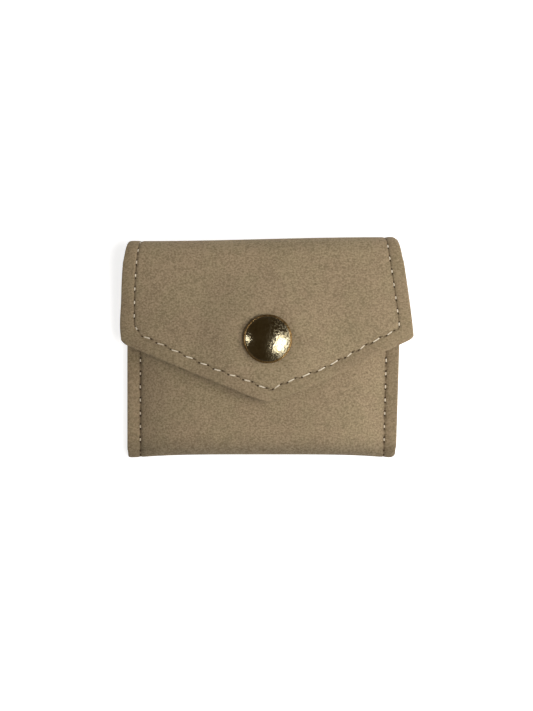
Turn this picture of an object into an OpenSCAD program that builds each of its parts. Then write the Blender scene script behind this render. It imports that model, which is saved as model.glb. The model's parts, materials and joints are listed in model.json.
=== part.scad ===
// Small envelope wallet in suede: a flat pouch folded from one strip and sewn along its two sides,
// two card pockets inside, and a pointed flap that folds over the mouth and closes with a snap.
// It lies on its back. +X is to the right, +Y points to the top fold, +Z is up, out of the front.
// The origin is on the resting plane, under the snap's centre line.

/* [Wallet] */
// Width of the pouch and of the fold strip
pouch_w = 96; // [86:1:116]
// Height from the bottom fold to the top fold
wallet_h = 78; // [72:1:94]
// How far the middle of the pouch lies to the right of the snap
pouch_shift = -1.5; // [-3:0.5:3]
// Distance from the pouch's side edge to its side seam
seam_inset = 4.5; // [3.5:0.1:6]
// Distance from the top fold down to the mouth's edge
mouth_drop = 17; // [15:0.5:22]
// Clear depth of the main compartment
cavity = 5; // [4.6:0.1:7]
// Radius of the strip's corners at its folds
fold_corner_r = 1.8; // [1:0.1:3]
// How far the bottom fold is drawn up in the middle
bottom_draw = 0.6; // [0:0.1:1.5]

/* [Plies] */
// Thickness of the suede
suede_t = 1.2; // [0.8:0.1:1.6]
// Thickness of the lining
lining_t = 0.4; // [0.3:0.1:0.8]
// Thickness of a card pocket's sheet
pocket_t = 0.4; // [0.3:0.1:0.8]
// Air between two plies
ply_gap = 0.05; // [0.03:0.01:0.1]

/* [Card pockets] */
// Room for one card in a pocket
card_gap = 0.8; // [0.8:0.1:1.2]
// Distance from the top fold to the rear pocket's edge
rear_pocket_drop = 25; // [23:0.5:30]
// Distance from the rear pocket's edge to the front pocket's edge
pocket_step = 9; // [6:0.5:12]
// Height of the pockets' foot over the bottom fold
pocket_foot = 6; // [5.5:0.5:9]

/* [Flap] */
// How far the flap is wider than the pouch, both sides together
flap_extra_w = 8; // [6:0.5:12]
// Distance from the top fold to the flap's side corners
corner_drop = 36.3; // [33:0.1:42]
// Distance from the top fold to the point where the lower edges meet
point_drop = 59; // [54:0.5:66]
// Rounding of the side corners
corner_r = 3; // [2:0.1:4]
// Rounding of the point, as the length it takes from each lower edge
point_round = 2.3; // [1:0.1:4]
// Gap between the flap and the pouch's front
flap_gap = 0.8; // [0.6:0.1:1.5]
// How far the flap's side corners hang below its middle
flap_droop = 6; // [3:0.5:6.5]
// How far the ends of the top fold lie below its middle
fold_droop = 2; // [1:0.1:2.6]

/* [Snap] */
// Distance from the top fold to the snap's centre
snap_drop = 35.5; // [33:0.5:40]
// Diameter of the cap
cap_d = 17; // [15:0.5:18]
// Height of the cap over the flap
cap_rise = 2.9; // [2.6:0.1:3.4]
// Diameter of the socket
socket_d = 12.6; // [11.6:0.1:13.6]
// Diameter of the stud's flange
stud_flange_d = 11.6; // [10.6:0.1:12.4]
// Largest diameter of the stud's head
stud_head_d = 6.2; // [5.8:0.1:6.8]
// Distance between the front and the flap's lining at the snap
snap_stack = 3.2; // [3:0.1:3.6]
// Diameter of the cap's post
post_d = 4; // [3.4:0.1:4.2]
// Outer diameter of the rivet that holds the stud
rivet_d = 3; // [2.6:0.1:3.2]
// Diameter of the rivet's flange inside the pouch
rivet_flange_d = 8; // [7:0.1:9]
// Thickness of the ring spring's wire
spring_wire_d = 0.5; // [0.4:0.05:0.6]
// Thickness of the snap's sheet brass
brass_t = 0.4; // [0.3:0.05:0.45]
// Radial clearance of posts in their holes
post_clear = 0.06; // [0.04:0.01:0.1]
// Clearance between the stud's head and the ring spring
head_clear = 0.5; // [0.45:0.05:0.7]

/* [Stitching] */
// Distance from one stitch to the next along the straight sides
stitch_pitch = 4.8; // [4:0.1:6]
// Distance from one stitch to the next along the flap's lower edges
edge_pitch = 5.6; // [4:0.1:7]
// Visible length of a stitch
stitch_l = 2.8; // [2:0.1:3.4]
// Thickness of the thread
thread_d = 0.5; // [0.4:0.05:0.7]
// How far a stitch stands proud of the suede
stitch_proud = 0.2; // [0.1:0.05:0.3]
// Distance from the flap's edge to its seam
flap_seam_inset = 4.7; // [4:0.1:6]
// Distance from an edge to a hem seam
hem_inset = 2.5; // [2:0.1:4]

/* [Hidden] */

round_fn = 64;
fill_power = 4;      // how full the pouch stays towards its side seams
droop_power = 3;     // how late the flap starts to droop towards its sides
arc_steps = 5;       // facets in each quarter of a fold
flap_rows = 14;      // facets down the flap
fold_cut = 2;        // degrees left open on each side of a fold line
seat = 0.02;         // air between a snap piece and what it sits on
thread_sink = 0.1;   // how deep a side seam's thread is drawn into the back
lift_margin = 2;     // flat ring around the cap before the flap slopes down

suede_rgb = [0.56, 0.49, 0.39];
lining_rgb = [0.50, 0.43, 0.34];
pocket_rgb = [0.53, 0.46, 0.36];
thread_rgb = [0.86, 0.82, 0.72];
brass_rgb = [0.62, 0.52, 0.33];
steel_rgb = [0.70, 0.70, 0.68];

pouch_half = pouch_w / 2;
flap_half = pouch_half + flap_extra_w / 2;
seam_half = pouch_half - seam_inset;
top_y = wallet_h / 2;
bottom_y = -wallet_h / 2;
mouth_y = top_y - mouth_drop;
snap_y = top_y - snap_drop;
corner_y = top_y - corner_drop;
point_y = top_y - point_drop;
edge_slope = (corner_y - point_y) / flap_half;
pocket_foot_y = bottom_y + pocket_foot;
rear_pocket_y = top_y - rear_pocket_drop;
front_pocket_y = rear_pocket_y - pocket_step;
two_ply = suede_t + ply_gap + lining_t;
stitch_gap = stitch_pitch - stitch_l;
into_lining = two_ply - lining_t / 2;   // depth of a leg that ends in the lining

// Shares of the half width at which the sheets change direction, closer together towards the side.
half_shares = [0, 0.13, 0.26, 0.38, 0.49, 0.59, 0.68, 0.76, 0.83, 0.88, seam_half / pouch_half,
    0.965, 0.99, 1];
last_share = len(half_shares) - 1;
shares = [for (i = [-last_share : last_share]) sign(i) * half_shares[abs(i)]];

function pouch_x(u) = pouch_shift + u * pouch_half;
function clamped(value) = max(0, min(1, value));

// How full the pouch is at x: 1 in the middle, 0 from the side seams outwards.
function fill_at(x) = 1 - pow(min(1, abs(x - pouch_shift) / seam_half), fill_power);

// Heights of the plies over the resting plane.
function rear_pocket_z(x) = two_ply + ply_gap + card_gap * fill_at(x);
function front_pocket_z(x) = rear_pocket_z(x) + pocket_t + ply_gap + card_gap * fill_at(x);
function main_floor_z(x) = front_pocket_z(x) + pocket_t;
function main_roof_z(x) = main_floor_z(x) + ply_gap + cavity * fill_at(x);
function front_z(x) = main_roof_z(x) + two_ply;

crown_z = front_z(pouch_shift);
flap_crown_z = crown_z + flap_gap + two_ply;
fold_y = top_y - flap_crown_z / 2;

// The flap's outer face droops towards its sides, more at the side corners than at the fold.
function droop_at(x, amount) = amount * pow(abs(x) / flap_half, droop_power);
function flap_z(x, y) =
    let (down = clamped((fold_y - y) / (fold_y - corner_y)))
    flap_crown_z - droop_at(x, fold_droop + (flap_droop - fold_droop) * down);

// The snap's two halves keep the flap off the front, so it is lifted around the snap.
snap_lift = snap_stack - flap_gap;
lift_flat = cap_d / 2 + lift_margin;
lift_reach = fold_y - snap_y;
function lift_at(x, y) =
    let (t = clamped((norm([x, y - snap_y]) - lift_flat) / (lift_reach - lift_flat)))
    snap_lift * (1 - t * t * (3 - 2 * t));

// How far a fold's outline steps back near the strip's edge.
function corner_ease(u) =
    let (into = max(0, abs(u) * pouch_half - (pouch_half - fold_corner_r)))
    fold_corner_r - sqrt(fold_corner_r * fold_corner_r - into * into);

function top_r(u) = (flap_crown_z - droop_at(pouch_x(u), fold_droop)) / 2;
function top_centre_y(u) = top_y - corner_ease(u) - top_r(u);
function bottom_r(u) = front_z(pouch_x(u)) / 2;
function bottom_centre_y(u) = bottom_y + bottom_draw * fill_at(pouch_x(u)) + corner_ease(u) + bottom_r(u);

// A point on a fold, at an angle round from the back, a depth inside the suede's outer face.
function top_fold(u, angle, depth) =
    let (r = top_r(u))
    [pouch_x(u), top_centre_y(u) + (r - depth) * sin(angle), r - (r - depth) * cos(angle)];
function bottom_fold(u, angle, depth) =
    let (r = bottom_r(u))
    [pouch_x(u), bottom_centre_y(u) - (r - depth) * sin(angle), r - (r - depth) * cos(angle)];

// The strip's path in the pouch: from the lower fold line down the back, round the bottom and up the front.
function shell_path(u, depth) = concat(
    [for (i = [arc_steps : -1 : 0]) top_fold(u, i * (45 - fold_cut) / arc_steps, depth)],
    [for (i = [0 : 2 * arc_steps]) bottom_fold(u, i * 90 / arc_steps, depth)],
    [[pouch_x(u), mouth_y, front_z(pouch_x(u)) - depth]]
);

// Between the two fold lines.
function fold_path(u, depth) =
    let (first = 45 + fold_cut, turn = 90 - 2 * fold_cut, steps = 2 * arc_steps)
    [for (i = [0 : steps]) top_fold(u, first + i * turn / steps, depth)];

// The flap flares from the strip's width at the fold to its full width at the side corners.
function flare_at(u, y) = 1 - pow(1 - clamped((top_centre_y(u) - y) / (top_centre_y(u) - corner_y)), 2);
function flap_x(u, y) = pouch_x(u) + (u * flap_half - pouch_x(u)) * flare_at(u, y);
function corner_round(x) =
    let (into = max(0, abs(x) - (flap_half - corner_r)))
    corner_r - sqrt(max(0, corner_r * corner_r - into * into));
function lower_edge_y(x) = point_y + edge_slope * norm([x, point_round]) + corner_round(x);
function flap_point(x, y, depth) = [x, y, flap_z(x, y) + lift_at(x, y) - depth];
function flap_path(u, depth) =
    let (
        first = 135 + fold_cut,
        turn = 45 - fold_cut,
        start_y = top_centre_y(u),
        end_y = lower_edge_y(u * flap_half)
    )
    concat(
        [for (i = [0 : arc_steps - 1]) top_fold(u, first + i * turn / arc_steps, depth)],
        [for (j = [0 : flap_rows])
            let (y = start_y + (end_y - start_y) * j / flap_rows)
            flap_point(flap_x(u, y), y, depth)]
    );

// A closed sheet between two grids of points, which have one row for each share of the width.
function grid_faces(rows, cols, first, flip) = [
    for (i = [0 : rows - 2], j = [0 : cols - 2])
        let (a = first + i * cols + j, b = a + 1, c = a + cols, d = c + 1)
        each flip ? [[a, b, d], [a, d, c]] : [[a, d, b], [a, c, d]]
];
function rim_faces(rim, size, flip) = [
    for (k = [0 : len(rim) - 1])
        let (a = rim[k], b = rim[(k + 1) % len(rim)])
        each flip ? [[a, b, b + size], [a, b + size, a + size]] : [[b, a, b + size], [b + size, a, a + size]]
];
module sheet(outer, inner) {
    rows = len(outer);
    cols = len(outer[0]);
    size = rows * cols;
    rim = concat(
        [for (j = [0 : cols - 1]) j],
        [for (i = [1 : rows - 1]) i * cols + cols - 1],
        [for (j = [cols - 2 : -1 : 0]) (rows - 1) * cols + j],
        [for (i = [rows - 2 : -1 : 1]) i * cols]
    );
    polyhedron(
        points = concat([for (row = outer) each row], [for (row = inner) each row]),
        faces = concat(grid_faces(rows, cols, 0, false), grid_faces(rows, cols, size, true),
            rim_faces(rim, size, true)),
        convexity = 6
    );
}

module at_snap(z) {
    translate([0, snap_y, z]) children();
}

/* The pouch: one strip of suede and its lining, folded round the bottom */

module shell_sheet(depth, thickness) {
    difference() {
        sheet([for (u = shares) shell_path(u, depth)], [for (u = shares) shell_path(u, depth + thickness)]);
        at_snap(main_roof_z(0) - lining_t)
            cylinder(h = 2 * two_ply, d = rivet_d + 2 * post_clear, $fn = round_fn);
    }
}

module outer_shell() { color(suede_rgb) shell_sheet(0, suede_t); }
module shell_lining() { color(lining_rgb) shell_sheet(suede_t + ply_gap, lining_t); }

// A flat sheet whose height follows the pouch's filling, from the pockets' foot up to its own edge.
module pocket_sheet(heights, edge_y) {
    last = len(shares) - 1;
    top = [for (i = [0 : last]) [pouch_x(shares[i]), heights[i] + pocket_t]];
    under = [for (i = [last : -1 : 0]) [pouch_x(shares[i]), heights[i]]];
    translate([0, edge_y, 0]) rotate([90, 0, 0]) linear_extrude(edge_y - pocket_foot_y)
        polygon(concat(top, under));
}

module rear_card_pocket() {
    color(pocket_rgb) pocket_sheet([for (u = shares) rear_pocket_z(pouch_x(u))], rear_pocket_y);
}

module front_card_pocket() {
    color(pocket_rgb) pocket_sheet([for (u = shares) front_pocket_z(pouch_x(u))], front_pocket_y);
}

/* Stitching */

// One stitch on a surface: a bar from point a to point b, with a leg down through the plies at each end.
module stitch(a, b, leg) {
    run = b - a;
    length = norm(run);
    translate(a) rotate([0, -atan2(run[2], norm([run[0], run[1]])), atan2(run[1], run[0])])
        translate([0, thread_d / 2, 0]) rotate([90, 0, 0]) linear_extrude(thread_d)
            polygon([[0, -leg], [thread_d, -leg], [thread_d, stitch_proud - thread_d],
                [length - thread_d, stitch_proud - thread_d], [length - thread_d, -leg], [length, -leg],
                [length, stitch_proud], [0, stitch_proud]]);
}

// The thread of one side: over the front and under the back below the mouth, and through the
// back's two plies alone between the mouth and the top fold.
module side_seam(x) {
    first_y = mouth_y - stitch_gap / 2;
    above = floor((top_centre_y(1) - mouth_y) / stitch_pitch);
    below = floor((first_y - bottom_y - bottom_r(1) - fold_corner_r) / stitch_pitch);
    function start_y(i) = first_y - i * stitch_pitch;
    function over_z(i) = stitch_proud + (i < 0 ? two_ply : front_z(x));
    over = [for (i = [-above : below - 1])
        each [[start_y(i), thread_sink + thread_d], [start_y(i), over_z(i)],
            [start_y(i) - stitch_l, over_z(i)], [start_y(i) - stitch_l, thread_sink + thread_d]]];
    under = [for (i = [below - 1 : -1 : -above])
        let (far_y = start_y(i) - stitch_l + thread_d, near_y = start_y(i) - thread_d)
        each [[far_y, thread_sink], [far_y, over_z(i) - thread_d], [near_y, over_z(i) - thread_d],
            [near_y, thread_sink]]];
    translate([x - thread_d / 2, 0, 0]) rotate([90, 0, 90]) linear_extrude(thread_d)
        polygon(concat(over, under));
}

module left_side_seam() { color(thread_rgb) side_seam(pouch_shift - seam_half); }
module right_side_seam() { color(thread_rgb) side_seam(pouch_shift + seam_half); }

// A row of stitches from seam to seam: its children draw one stitch, which starts at $x, $y.
module cross_row(y) {
    count = floor(2 * (seam_half - stitch_pitch) / stitch_pitch);
    first_x = pouch_shift - (count * stitch_pitch - stitch_gap) / 2;
    for (i = [0 : count - 1]) {
        $x = first_x + i * stitch_pitch;
        $y = y;
        children();
    }
}

module mouth_seam() {
    color(thread_rgb) cross_row(mouth_y - hem_inset)
        stitch([$x, $y, front_z($x)], [$x + stitch_l, $y, front_z($x + stitch_l)], into_lining);
}

module pocket_edge_seams() {
    leg = pocket_t / 2;
    function rear_top(x) = rear_pocket_z(x) + pocket_t;
    color(thread_rgb) {
        cross_row(rear_pocket_y - hem_inset)
            stitch([$x, $y, rear_top($x)], [$x + stitch_l, $y, rear_top($x + stitch_l)], leg);
        cross_row(front_pocket_y - hem_inset)
            stitch([$x, $y, main_floor_z($x)], [$x + stitch_l, $y, main_floor_z($x + stitch_l)], leg);
    }
}

module pocket_foot_seam() {
    color(thread_rgb) cross_row(pocket_foot_y + hem_inset / 2)
        stitch([$x, $y, main_floor_z($x)], [$x + stitch_l, $y, main_floor_z($x + stitch_l)],
            main_floor_z($x) - two_ply + lining_t / 2);
}

// The edge stitches where the strip turns round the top fold.
module fold_seams() {
    for (u = [-1, 1]) {
        seam_u = u * seam_half / pouch_half;
        r = top_r(seam_u);
        step = stitch_pitch / r * 180 / PI;
        count = floor((90 - 2 * fold_cut) / step);
        color(thread_rgb) for (i = [0 : count - 1]) {
            angle = 90 + (i - (count - 1) / 2) * step;
            translate([pouch_x(u) - u * flap_seam_inset, top_centre_y(seam_u), r]) rotate([angle, 0, 0])
                translate([0, -stitch_l / 2, -r]) rotate([0, 0, 90]) mirror([0, 0, 1])
                    stitch([0, 0, 0], [stitch_l, 0, 0], into_lining);
        }
    }
}

// The flap's edge seam runs down each side and along the lower edges to the point.
module flap_seam() {
    rise = flap_seam_inset * norm([1, edge_slope]);
    seam_corner_x = flap_half - flap_seam_inset;
    seam_corner_y = point_y + rise + edge_slope * seam_corner_x;
    function side_point(side, y) = flap_point(flap_x(side, y) - side * flap_seam_inset, y, 0);
    function edge_point(side, run) =
        let (x = run / norm([1, edge_slope]))
        flap_point(side * x, point_y + rise + edge_slope * x, 0);
    side_run = fold_y - seam_corner_y;
    edge_run = seam_corner_x * norm([1, edge_slope]);
    color(thread_rgb) for (side = [-1, 1]) {
        for (i = [0 : floor(side_run / stitch_pitch) - 1]) {
            y = fold_y - stitch_gap - i * stitch_pitch;
            stitch(side_point(side, y), side_point(side, y - stitch_l), into_lining);
        }
        for (i = [0 : floor(edge_run / edge_pitch) - 1]) {
            run = (edge_pitch - stitch_l) / 2 + i * edge_pitch;
            stitch(edge_point(side, run), edge_point(side, run + stitch_l), into_lining);
        }
    }
}

/* The top fold and the flap */

module fold_sheet(depth, thickness) {
    sheet([for (u = shares) fold_path(u, depth)], [for (u = shares) fold_path(u, depth + thickness)]);
}

module fold_suede() { color(suede_rgb) fold_sheet(0, suede_t); }
module fold_lining() { color(lining_rgb) fold_sheet(suede_t + ply_gap, lining_t); }

module flap_sheet(depth, thickness) {
    difference() {
        sheet([for (u = shares) flap_path(u, depth)], [for (u = shares) flap_path(u, depth + thickness)]);
        at_snap(crown_z) cylinder(h = flap_crown_z, d = post_d + 2 * post_clear, $fn = round_fn);
    }
}

module flap_suede() { color(suede_rgb) flap_sheet(0, suede_t); }
module flap_lining() { color(lining_rgb) flap_sheet(suede_t + ply_gap, lining_t); }

/* The ring snap, from the inside of the pouch outwards */

lining_face = snap_stack;                        // heights over the front, at the snap
flap_face = snap_stack + two_ply;
plate_low = lining_face - seat - brass_t;        // the socket's plate
clench_t = 0.3;                                  // thickness of the post's clenched end
clench_low = plate_low - seat - clench_t;
head_air = 0.25;                                 // air between that end and the stud's rivet
rivet_lip_t = 0.25;                              // thickness of the rivet's rolled lip
stud_top = clench_low - head_air - rivet_lip_t - seat;
head_share = 0.7;                                // where the stud's head is widest, in its height
neck_share = 0.45;                               // where its neck ends
neck_inset = 0.6;                                // how far its neck is set in from its head
head_z = head_share * stud_top;
neck_top = neck_share * stud_top;
neck_r = stud_head_d / 2 - neck_inset;
lip_air = 0.3;                                   // air between the stud's flange and the socket's lip
lip_low = seat + brass_t + lip_air;
spring_z = lip_low + brass_t + seat + spring_wire_d / 2;
spring_r = stud_head_d / 2 + head_clear + spring_wire_d / 2;
spring_opening = 30;                             // degrees between the wire's ends
rim_h = 1.2;                                     // height of the cap's rolled rim
curl_w = 1.6;                                    // width of the rim's curl under the cap

module snap_stud() {
    bore_r = rivet_d / 2 + post_clear;
    head_r = stud_head_d / 2;
    color(brass_rgb) at_snap(crown_z) rotate_extrude($fn = round_fn)
        polygon([[bore_r, seat], [stud_flange_d / 2, seat], [stud_flange_d / 2, seat + brass_t],
            [neck_r, seat + brass_t], [neck_r, neck_top], [head_r, head_z], [neck_r, stud_top],
            [bore_r, stud_top]]);
}

// A tubular rivet: its flange is inside the pouch and its lip is rolled over the stud's top.
module stud_rivet() {
    tube_r = rivet_d / 2;
    flange_z = -two_ply - seat;
    lip_z = stud_top + seat;
    color(brass_rgb) at_snap(crown_z) rotate_extrude($fn = round_fn)
        polygon([[tube_r - brass_t, flange_z - brass_t], [rivet_flange_d / 2, flange_z - brass_t],
            [rivet_flange_d / 2, flange_z], [tube_r, flange_z], [tube_r, lip_z], [tube_r + brass_t, lip_z],
            [tube_r + brass_t, lip_z + rivet_lip_t], [tube_r - brass_t, lip_z + rivet_lip_t]]);
}

module snap_socket() {
    wall_r = socket_d / 2;
    hole_r = post_d / 2 + post_clear;
    color(brass_rgb) at_snap(crown_z) rotate_extrude($fn = round_fn)
        polygon([[hole_r, plate_low], [wall_r - brass_t, plate_low], [wall_r - brass_t, lip_low + brass_t],
            [spring_r, lip_low + brass_t], [spring_r, lip_low], [wall_r, lip_low],
            [wall_r, plate_low + brass_t], [hole_r, plate_low + brass_t]]);
}

// An open ring of wire, free to spread in the socket.
module snap_spring() {
    color(steel_rgb) at_snap(crown_z + spring_z) rotate([0, 0, 90 + spring_opening / 2])
        rotate_extrude(angle = 360 - spring_opening, $fn = round_fn)
            translate([spring_r, 0]) circle(d = spring_wire_d, $fn = round_fn);
}

// A tube with a flange in the cap, clenched under the socket's plate.
module cap_post() {
    tube_r = post_d / 2;
    flange_z = flap_face + 2 * seat + brass_t;
    flange_r = cap_d / 2 - brass_t - post_clear;
    clench_r = tube_r + 2 * brass_t;
    color(brass_rgb) at_snap(crown_z) rotate_extrude($fn = round_fn)
        polygon([[tube_r - brass_t, clench_low], [clench_r, clench_low], [clench_r, clench_low + clench_t],
            [tube_r, clench_low + clench_t], [tube_r, flange_z], [flange_r, flange_z],
            [flange_r, flange_z + brass_t], [tube_r - brass_t, flange_z + brass_t]]);
}

// A domed shell whose rim is curled under the post's flange.
module snap_cap() {
    base = flap_face + seat;
    rim_r = cap_d / 2;
    dome_h = cap_rise - rim_h;
    dome_r = (rim_r * rim_r + dome_h * dome_h) / (2 * dome_h);
    dome_angle = asin(rim_r / dome_r);
    steps = 12;
    function dome(r, i) =
        let (angle = dome_angle * i / steps)
        [r * sin(angle), base + cap_rise - dome_r + r * cos(angle)];
    color(brass_rgb) at_snap(crown_z) rotate_extrude($fn = round_fn)
        polygon(concat(
            [for (i = [0 : steps]) dome(dome_r, i)],
            [[rim_r, base], [rim_r - curl_w, base], [rim_r - curl_w, base + brass_t],
                [rim_r - brass_t, base + brass_t], [rim_r - brass_t, base + rim_h - brass_t]],
            [for (i = [steps - 1 : -1 : 0]) dome(dome_r - brass_t, i)]
        ));
}

outer_shell();
shell_lining();
rear_card_pocket();
front_card_pocket();
left_side_seam();
right_side_seam();
mouth_seam();
pocket_edge_seams();
pocket_foot_seam();
snap_stud();
stud_rivet();
fold_suede();
fold_lining();
fold_seams();
flap_suede();
flap_lining();
flap_seam();
snap_cap();
cap_post();
snap_socket();
snap_spring();
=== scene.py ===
"""A small suede envelope wallet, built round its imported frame: the folded strip, the flap, the
linings, the card pockets, the stitching, the ring snap and the studio that they are seen in."""

import json
import math

import bmesh
import bpy
import numpy as np
from mathutils import Euler, Matrix, Vector


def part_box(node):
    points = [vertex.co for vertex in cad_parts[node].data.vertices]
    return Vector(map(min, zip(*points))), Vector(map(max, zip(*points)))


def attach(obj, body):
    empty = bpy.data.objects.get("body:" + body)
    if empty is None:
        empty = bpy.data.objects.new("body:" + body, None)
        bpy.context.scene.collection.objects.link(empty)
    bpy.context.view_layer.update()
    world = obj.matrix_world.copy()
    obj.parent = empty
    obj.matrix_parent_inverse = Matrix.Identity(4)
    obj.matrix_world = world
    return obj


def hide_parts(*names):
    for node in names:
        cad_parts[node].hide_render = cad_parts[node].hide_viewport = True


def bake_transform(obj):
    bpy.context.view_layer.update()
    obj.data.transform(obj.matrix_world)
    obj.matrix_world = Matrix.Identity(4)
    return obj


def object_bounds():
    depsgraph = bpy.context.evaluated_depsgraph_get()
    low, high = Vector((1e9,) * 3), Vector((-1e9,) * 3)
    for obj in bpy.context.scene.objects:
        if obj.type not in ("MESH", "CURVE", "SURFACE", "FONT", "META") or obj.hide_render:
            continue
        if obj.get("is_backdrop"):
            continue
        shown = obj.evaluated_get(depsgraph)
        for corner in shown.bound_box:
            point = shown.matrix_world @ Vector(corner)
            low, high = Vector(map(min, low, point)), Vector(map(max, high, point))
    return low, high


bl_info = {
    "name": "Envelope Wallet",
    "version": (1, 0, 0),
    "blender": (4, 5, 0),
    "location": "View3D > Sidebar > Wallet",
    "description": "Builds a suede envelope wallet with a snap flap round its packed frame",
    "category": "Object",
}

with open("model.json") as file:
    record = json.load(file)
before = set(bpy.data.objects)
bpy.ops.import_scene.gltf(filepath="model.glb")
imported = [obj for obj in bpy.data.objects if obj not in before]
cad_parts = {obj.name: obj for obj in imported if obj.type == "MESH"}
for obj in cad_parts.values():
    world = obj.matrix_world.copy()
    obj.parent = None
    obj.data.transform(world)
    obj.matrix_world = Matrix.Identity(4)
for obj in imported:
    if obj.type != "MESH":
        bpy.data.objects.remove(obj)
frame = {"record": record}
frame_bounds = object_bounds()

MM = 0.001
DEGREE = math.pi / 180
PLY_GAP = 0.05 * MM     # air between two plies
PROUD = 0.2 * MM        # how far the frame's stitches stand over what they are sewn to
FOLD, BACK, BOTTOM, FRONT = range(4)    # the strip's stretches, from its top end round to its mouth
EDGE_STEPS = 5          # facets round a ply's edge
FOLD_STEPS = 20         # facets in a quarter of a fold
JOIN_STEP = 0.01        # share of a fold facet next to the line where two pieces meet
SIDE_SHARE = 0.17       # half a stitch's visible length, as a share of the pitch, on side seams
EDGE_SHARE = 0.29       # the same along the flap's lower edges
HEM_STITCH = 1.9 * MM   # a stitch's visible length along the mouth
POCKET_STITCH = 1.7 * MM    # the same across the card pockets
LONG_SHARES = (0.20, 0.26)  # the shares between which a stitch counts less and less as a short one
LONG_SKEW = 0.5 * MM    # how far the two ends of a long stitch are set off across its seam
STITCH_PROUD = 0.16 * MM    # how far a stitch stands over the face that it is sewn to
STITCH_SINK = 0.30 * MM     # how far the strip's stitches are pulled into its face
POCKET_SINK = 0.22 * MM     # the same in a card pocket
POCKET_HEM = 2.5 * MM   # distance from a card pocket's open edge to its hem
SUEDE_STEP = 0.9 * MM   # the widest facet of a suede ply
LINING_STEP = 1.6 * MM  # the same of a lining or a card pocket
SEAM_REACH = 1.6 * MM   # how far to both sides of a seam the facets are fine
SEAM_STEP = 0.25 * MM   # distance between the points of the flap's seam
SEAM_WINDOW = 9         # how many of them are averaged, which rounds the seam's corners
EASE_IN = 8 * MM        # how far below the top fold its pull on the face has worn off
BEND_START = 0.3 * MM   # how far into the top fold, back and up alike, the near end handed to bend_over lies
BEND_END = 5.5 * MM     # how far in, back and up, the far end handed to bend_over lies


def box(node):
    """The lowest and highest corner of a frame node, as arrays."""
    low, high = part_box(node)
    return np.array(low), np.array(high)


def smooth(value):
    """0 to 1 with level ends, as value goes from 0 to 1."""
    value = np.clip(value, 0, 1)
    return value * value * (3 - 2 * value)


def bell(distance, width):
    """1 at no distance, falling to nothing over a few widths."""
    return np.exp(-((distance / width) ** 2))


# ---------------------------------------------------------------------------------------------
# Sizes and colours that a user would change


class WalletSizes(bpy.types.PropertyGroup):
    """Sizes of the wallet that its frame doesn't fix."""

    suede_thickness: bpy.props.FloatProperty(
        name="Suede thickness", description="Thickness of the suede strip and flap",
        default=1.2 * MM, unit="LENGTH")
    lining_thickness: bpy.props.FloatProperty(
        name="Lining thickness", description="Thickness of the lining",
        default=0.4 * MM, unit="LENGTH")
    lining_setback: bpy.props.FloatProperty(
        name="Lining setback", description="Distance from the suede's edge to the lining's edge",
        default=0.7 * MM, unit="LENGTH")
    seam_inset: bpy.props.FloatProperty(
        name="Side seam inset", description="Distance from the pouch's side edge to its seam",
        default=4.5 * MM, unit="LENGTH")
    flap_seam_inset: bpy.props.FloatProperty(
        name="Flap seam inset", description="Distance from the flap's edge to its seam",
        default=4.9 * MM, unit="LENGTH")
    hem_inset: bpy.props.FloatProperty(
        name="Hem inset", description="Distance from the mouth's edge to its hem seam",
        default=2.5 * MM, unit="LENGTH")
    mouth_drop: bpy.props.FloatProperty(
        name="Mouth drop", description="Distance from the top fold down to the mouth's edge",
        default=17 * MM, unit="LENGTH")
    corner_drop: bpy.props.FloatProperty(
        name="Corner drop", description="Distance from the top fold to the flap's side corners",
        default=36.3 * MM, unit="LENGTH")
    side_pitch: bpy.props.FloatProperty(
        name="Side stitch pitch", description="Distance between stitches along the straight sides",
        default=4.75 * MM, unit="LENGTH")
    edge_pitch: bpy.props.FloatProperty(
        name="Edge stitch pitch", description="Distance between stitches along the flap's lower edges",
        default=5.6 * MM, unit="LENGTH")
    thread_width: bpy.props.FloatProperty(
        name="Thread width", description="Width of the sewing thread",
        default=0.48 * MM, unit="LENGTH")


class WalletColours(bpy.types.PropertyGroup):
    """Colours of the wallet's materials."""

    suede: bpy.props.FloatVectorProperty(
        name="Suede", description="Colour of the suede's nap", subtype="COLOR", size=3,
        default=(0.335, 0.258, 0.160))
    suede_shade: bpy.props.FloatVectorProperty(
        name="Suede shade", description="Colour of the nap's darker grains", subtype="COLOR", size=3,
        default=(0.165, 0.124, 0.073))
    # Painted shade: the dark colour inside the stitch holes stands for the shade in them.
    hole: bpy.props.FloatVectorProperty(
        name="Stitch hole", description="Colour inside the stitch holes", subtype="COLOR", size=3,
        default=(0.045, 0.026, 0.014))
    lining: bpy.props.FloatVectorProperty(
        name="Lining", description="Colour of the lining", subtype="COLOR", size=3,
        default=(0.25, 0.185, 0.115))
    thread: bpy.props.FloatVectorProperty(
        name="Thread", description="Colour of the thread", subtype="COLOR", size=3,
        default=(0.86, 0.79, 0.65))
    brass: bpy.props.FloatVectorProperty(
        name="Brass", description="Colour of the snap's inner pieces", subtype="COLOR", size=3,
        default=(0.72, 0.62, 0.40))
    cap: bpy.props.FloatVectorProperty(
        name="Cap", description="Colour of the cap's darkened dome", subtype="COLOR", size=3,
        default=(0.30, 0.275, 0.20))
    cap_rim: bpy.props.FloatVectorProperty(
        name="Cap rim", description="Colour of the cap's rolled rim", subtype="COLOR", size=3,
        default=(0.24, 0.155, 0.065))


# ---------------------------------------------------------------------------------------------
# The wallet's surfaces


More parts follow.
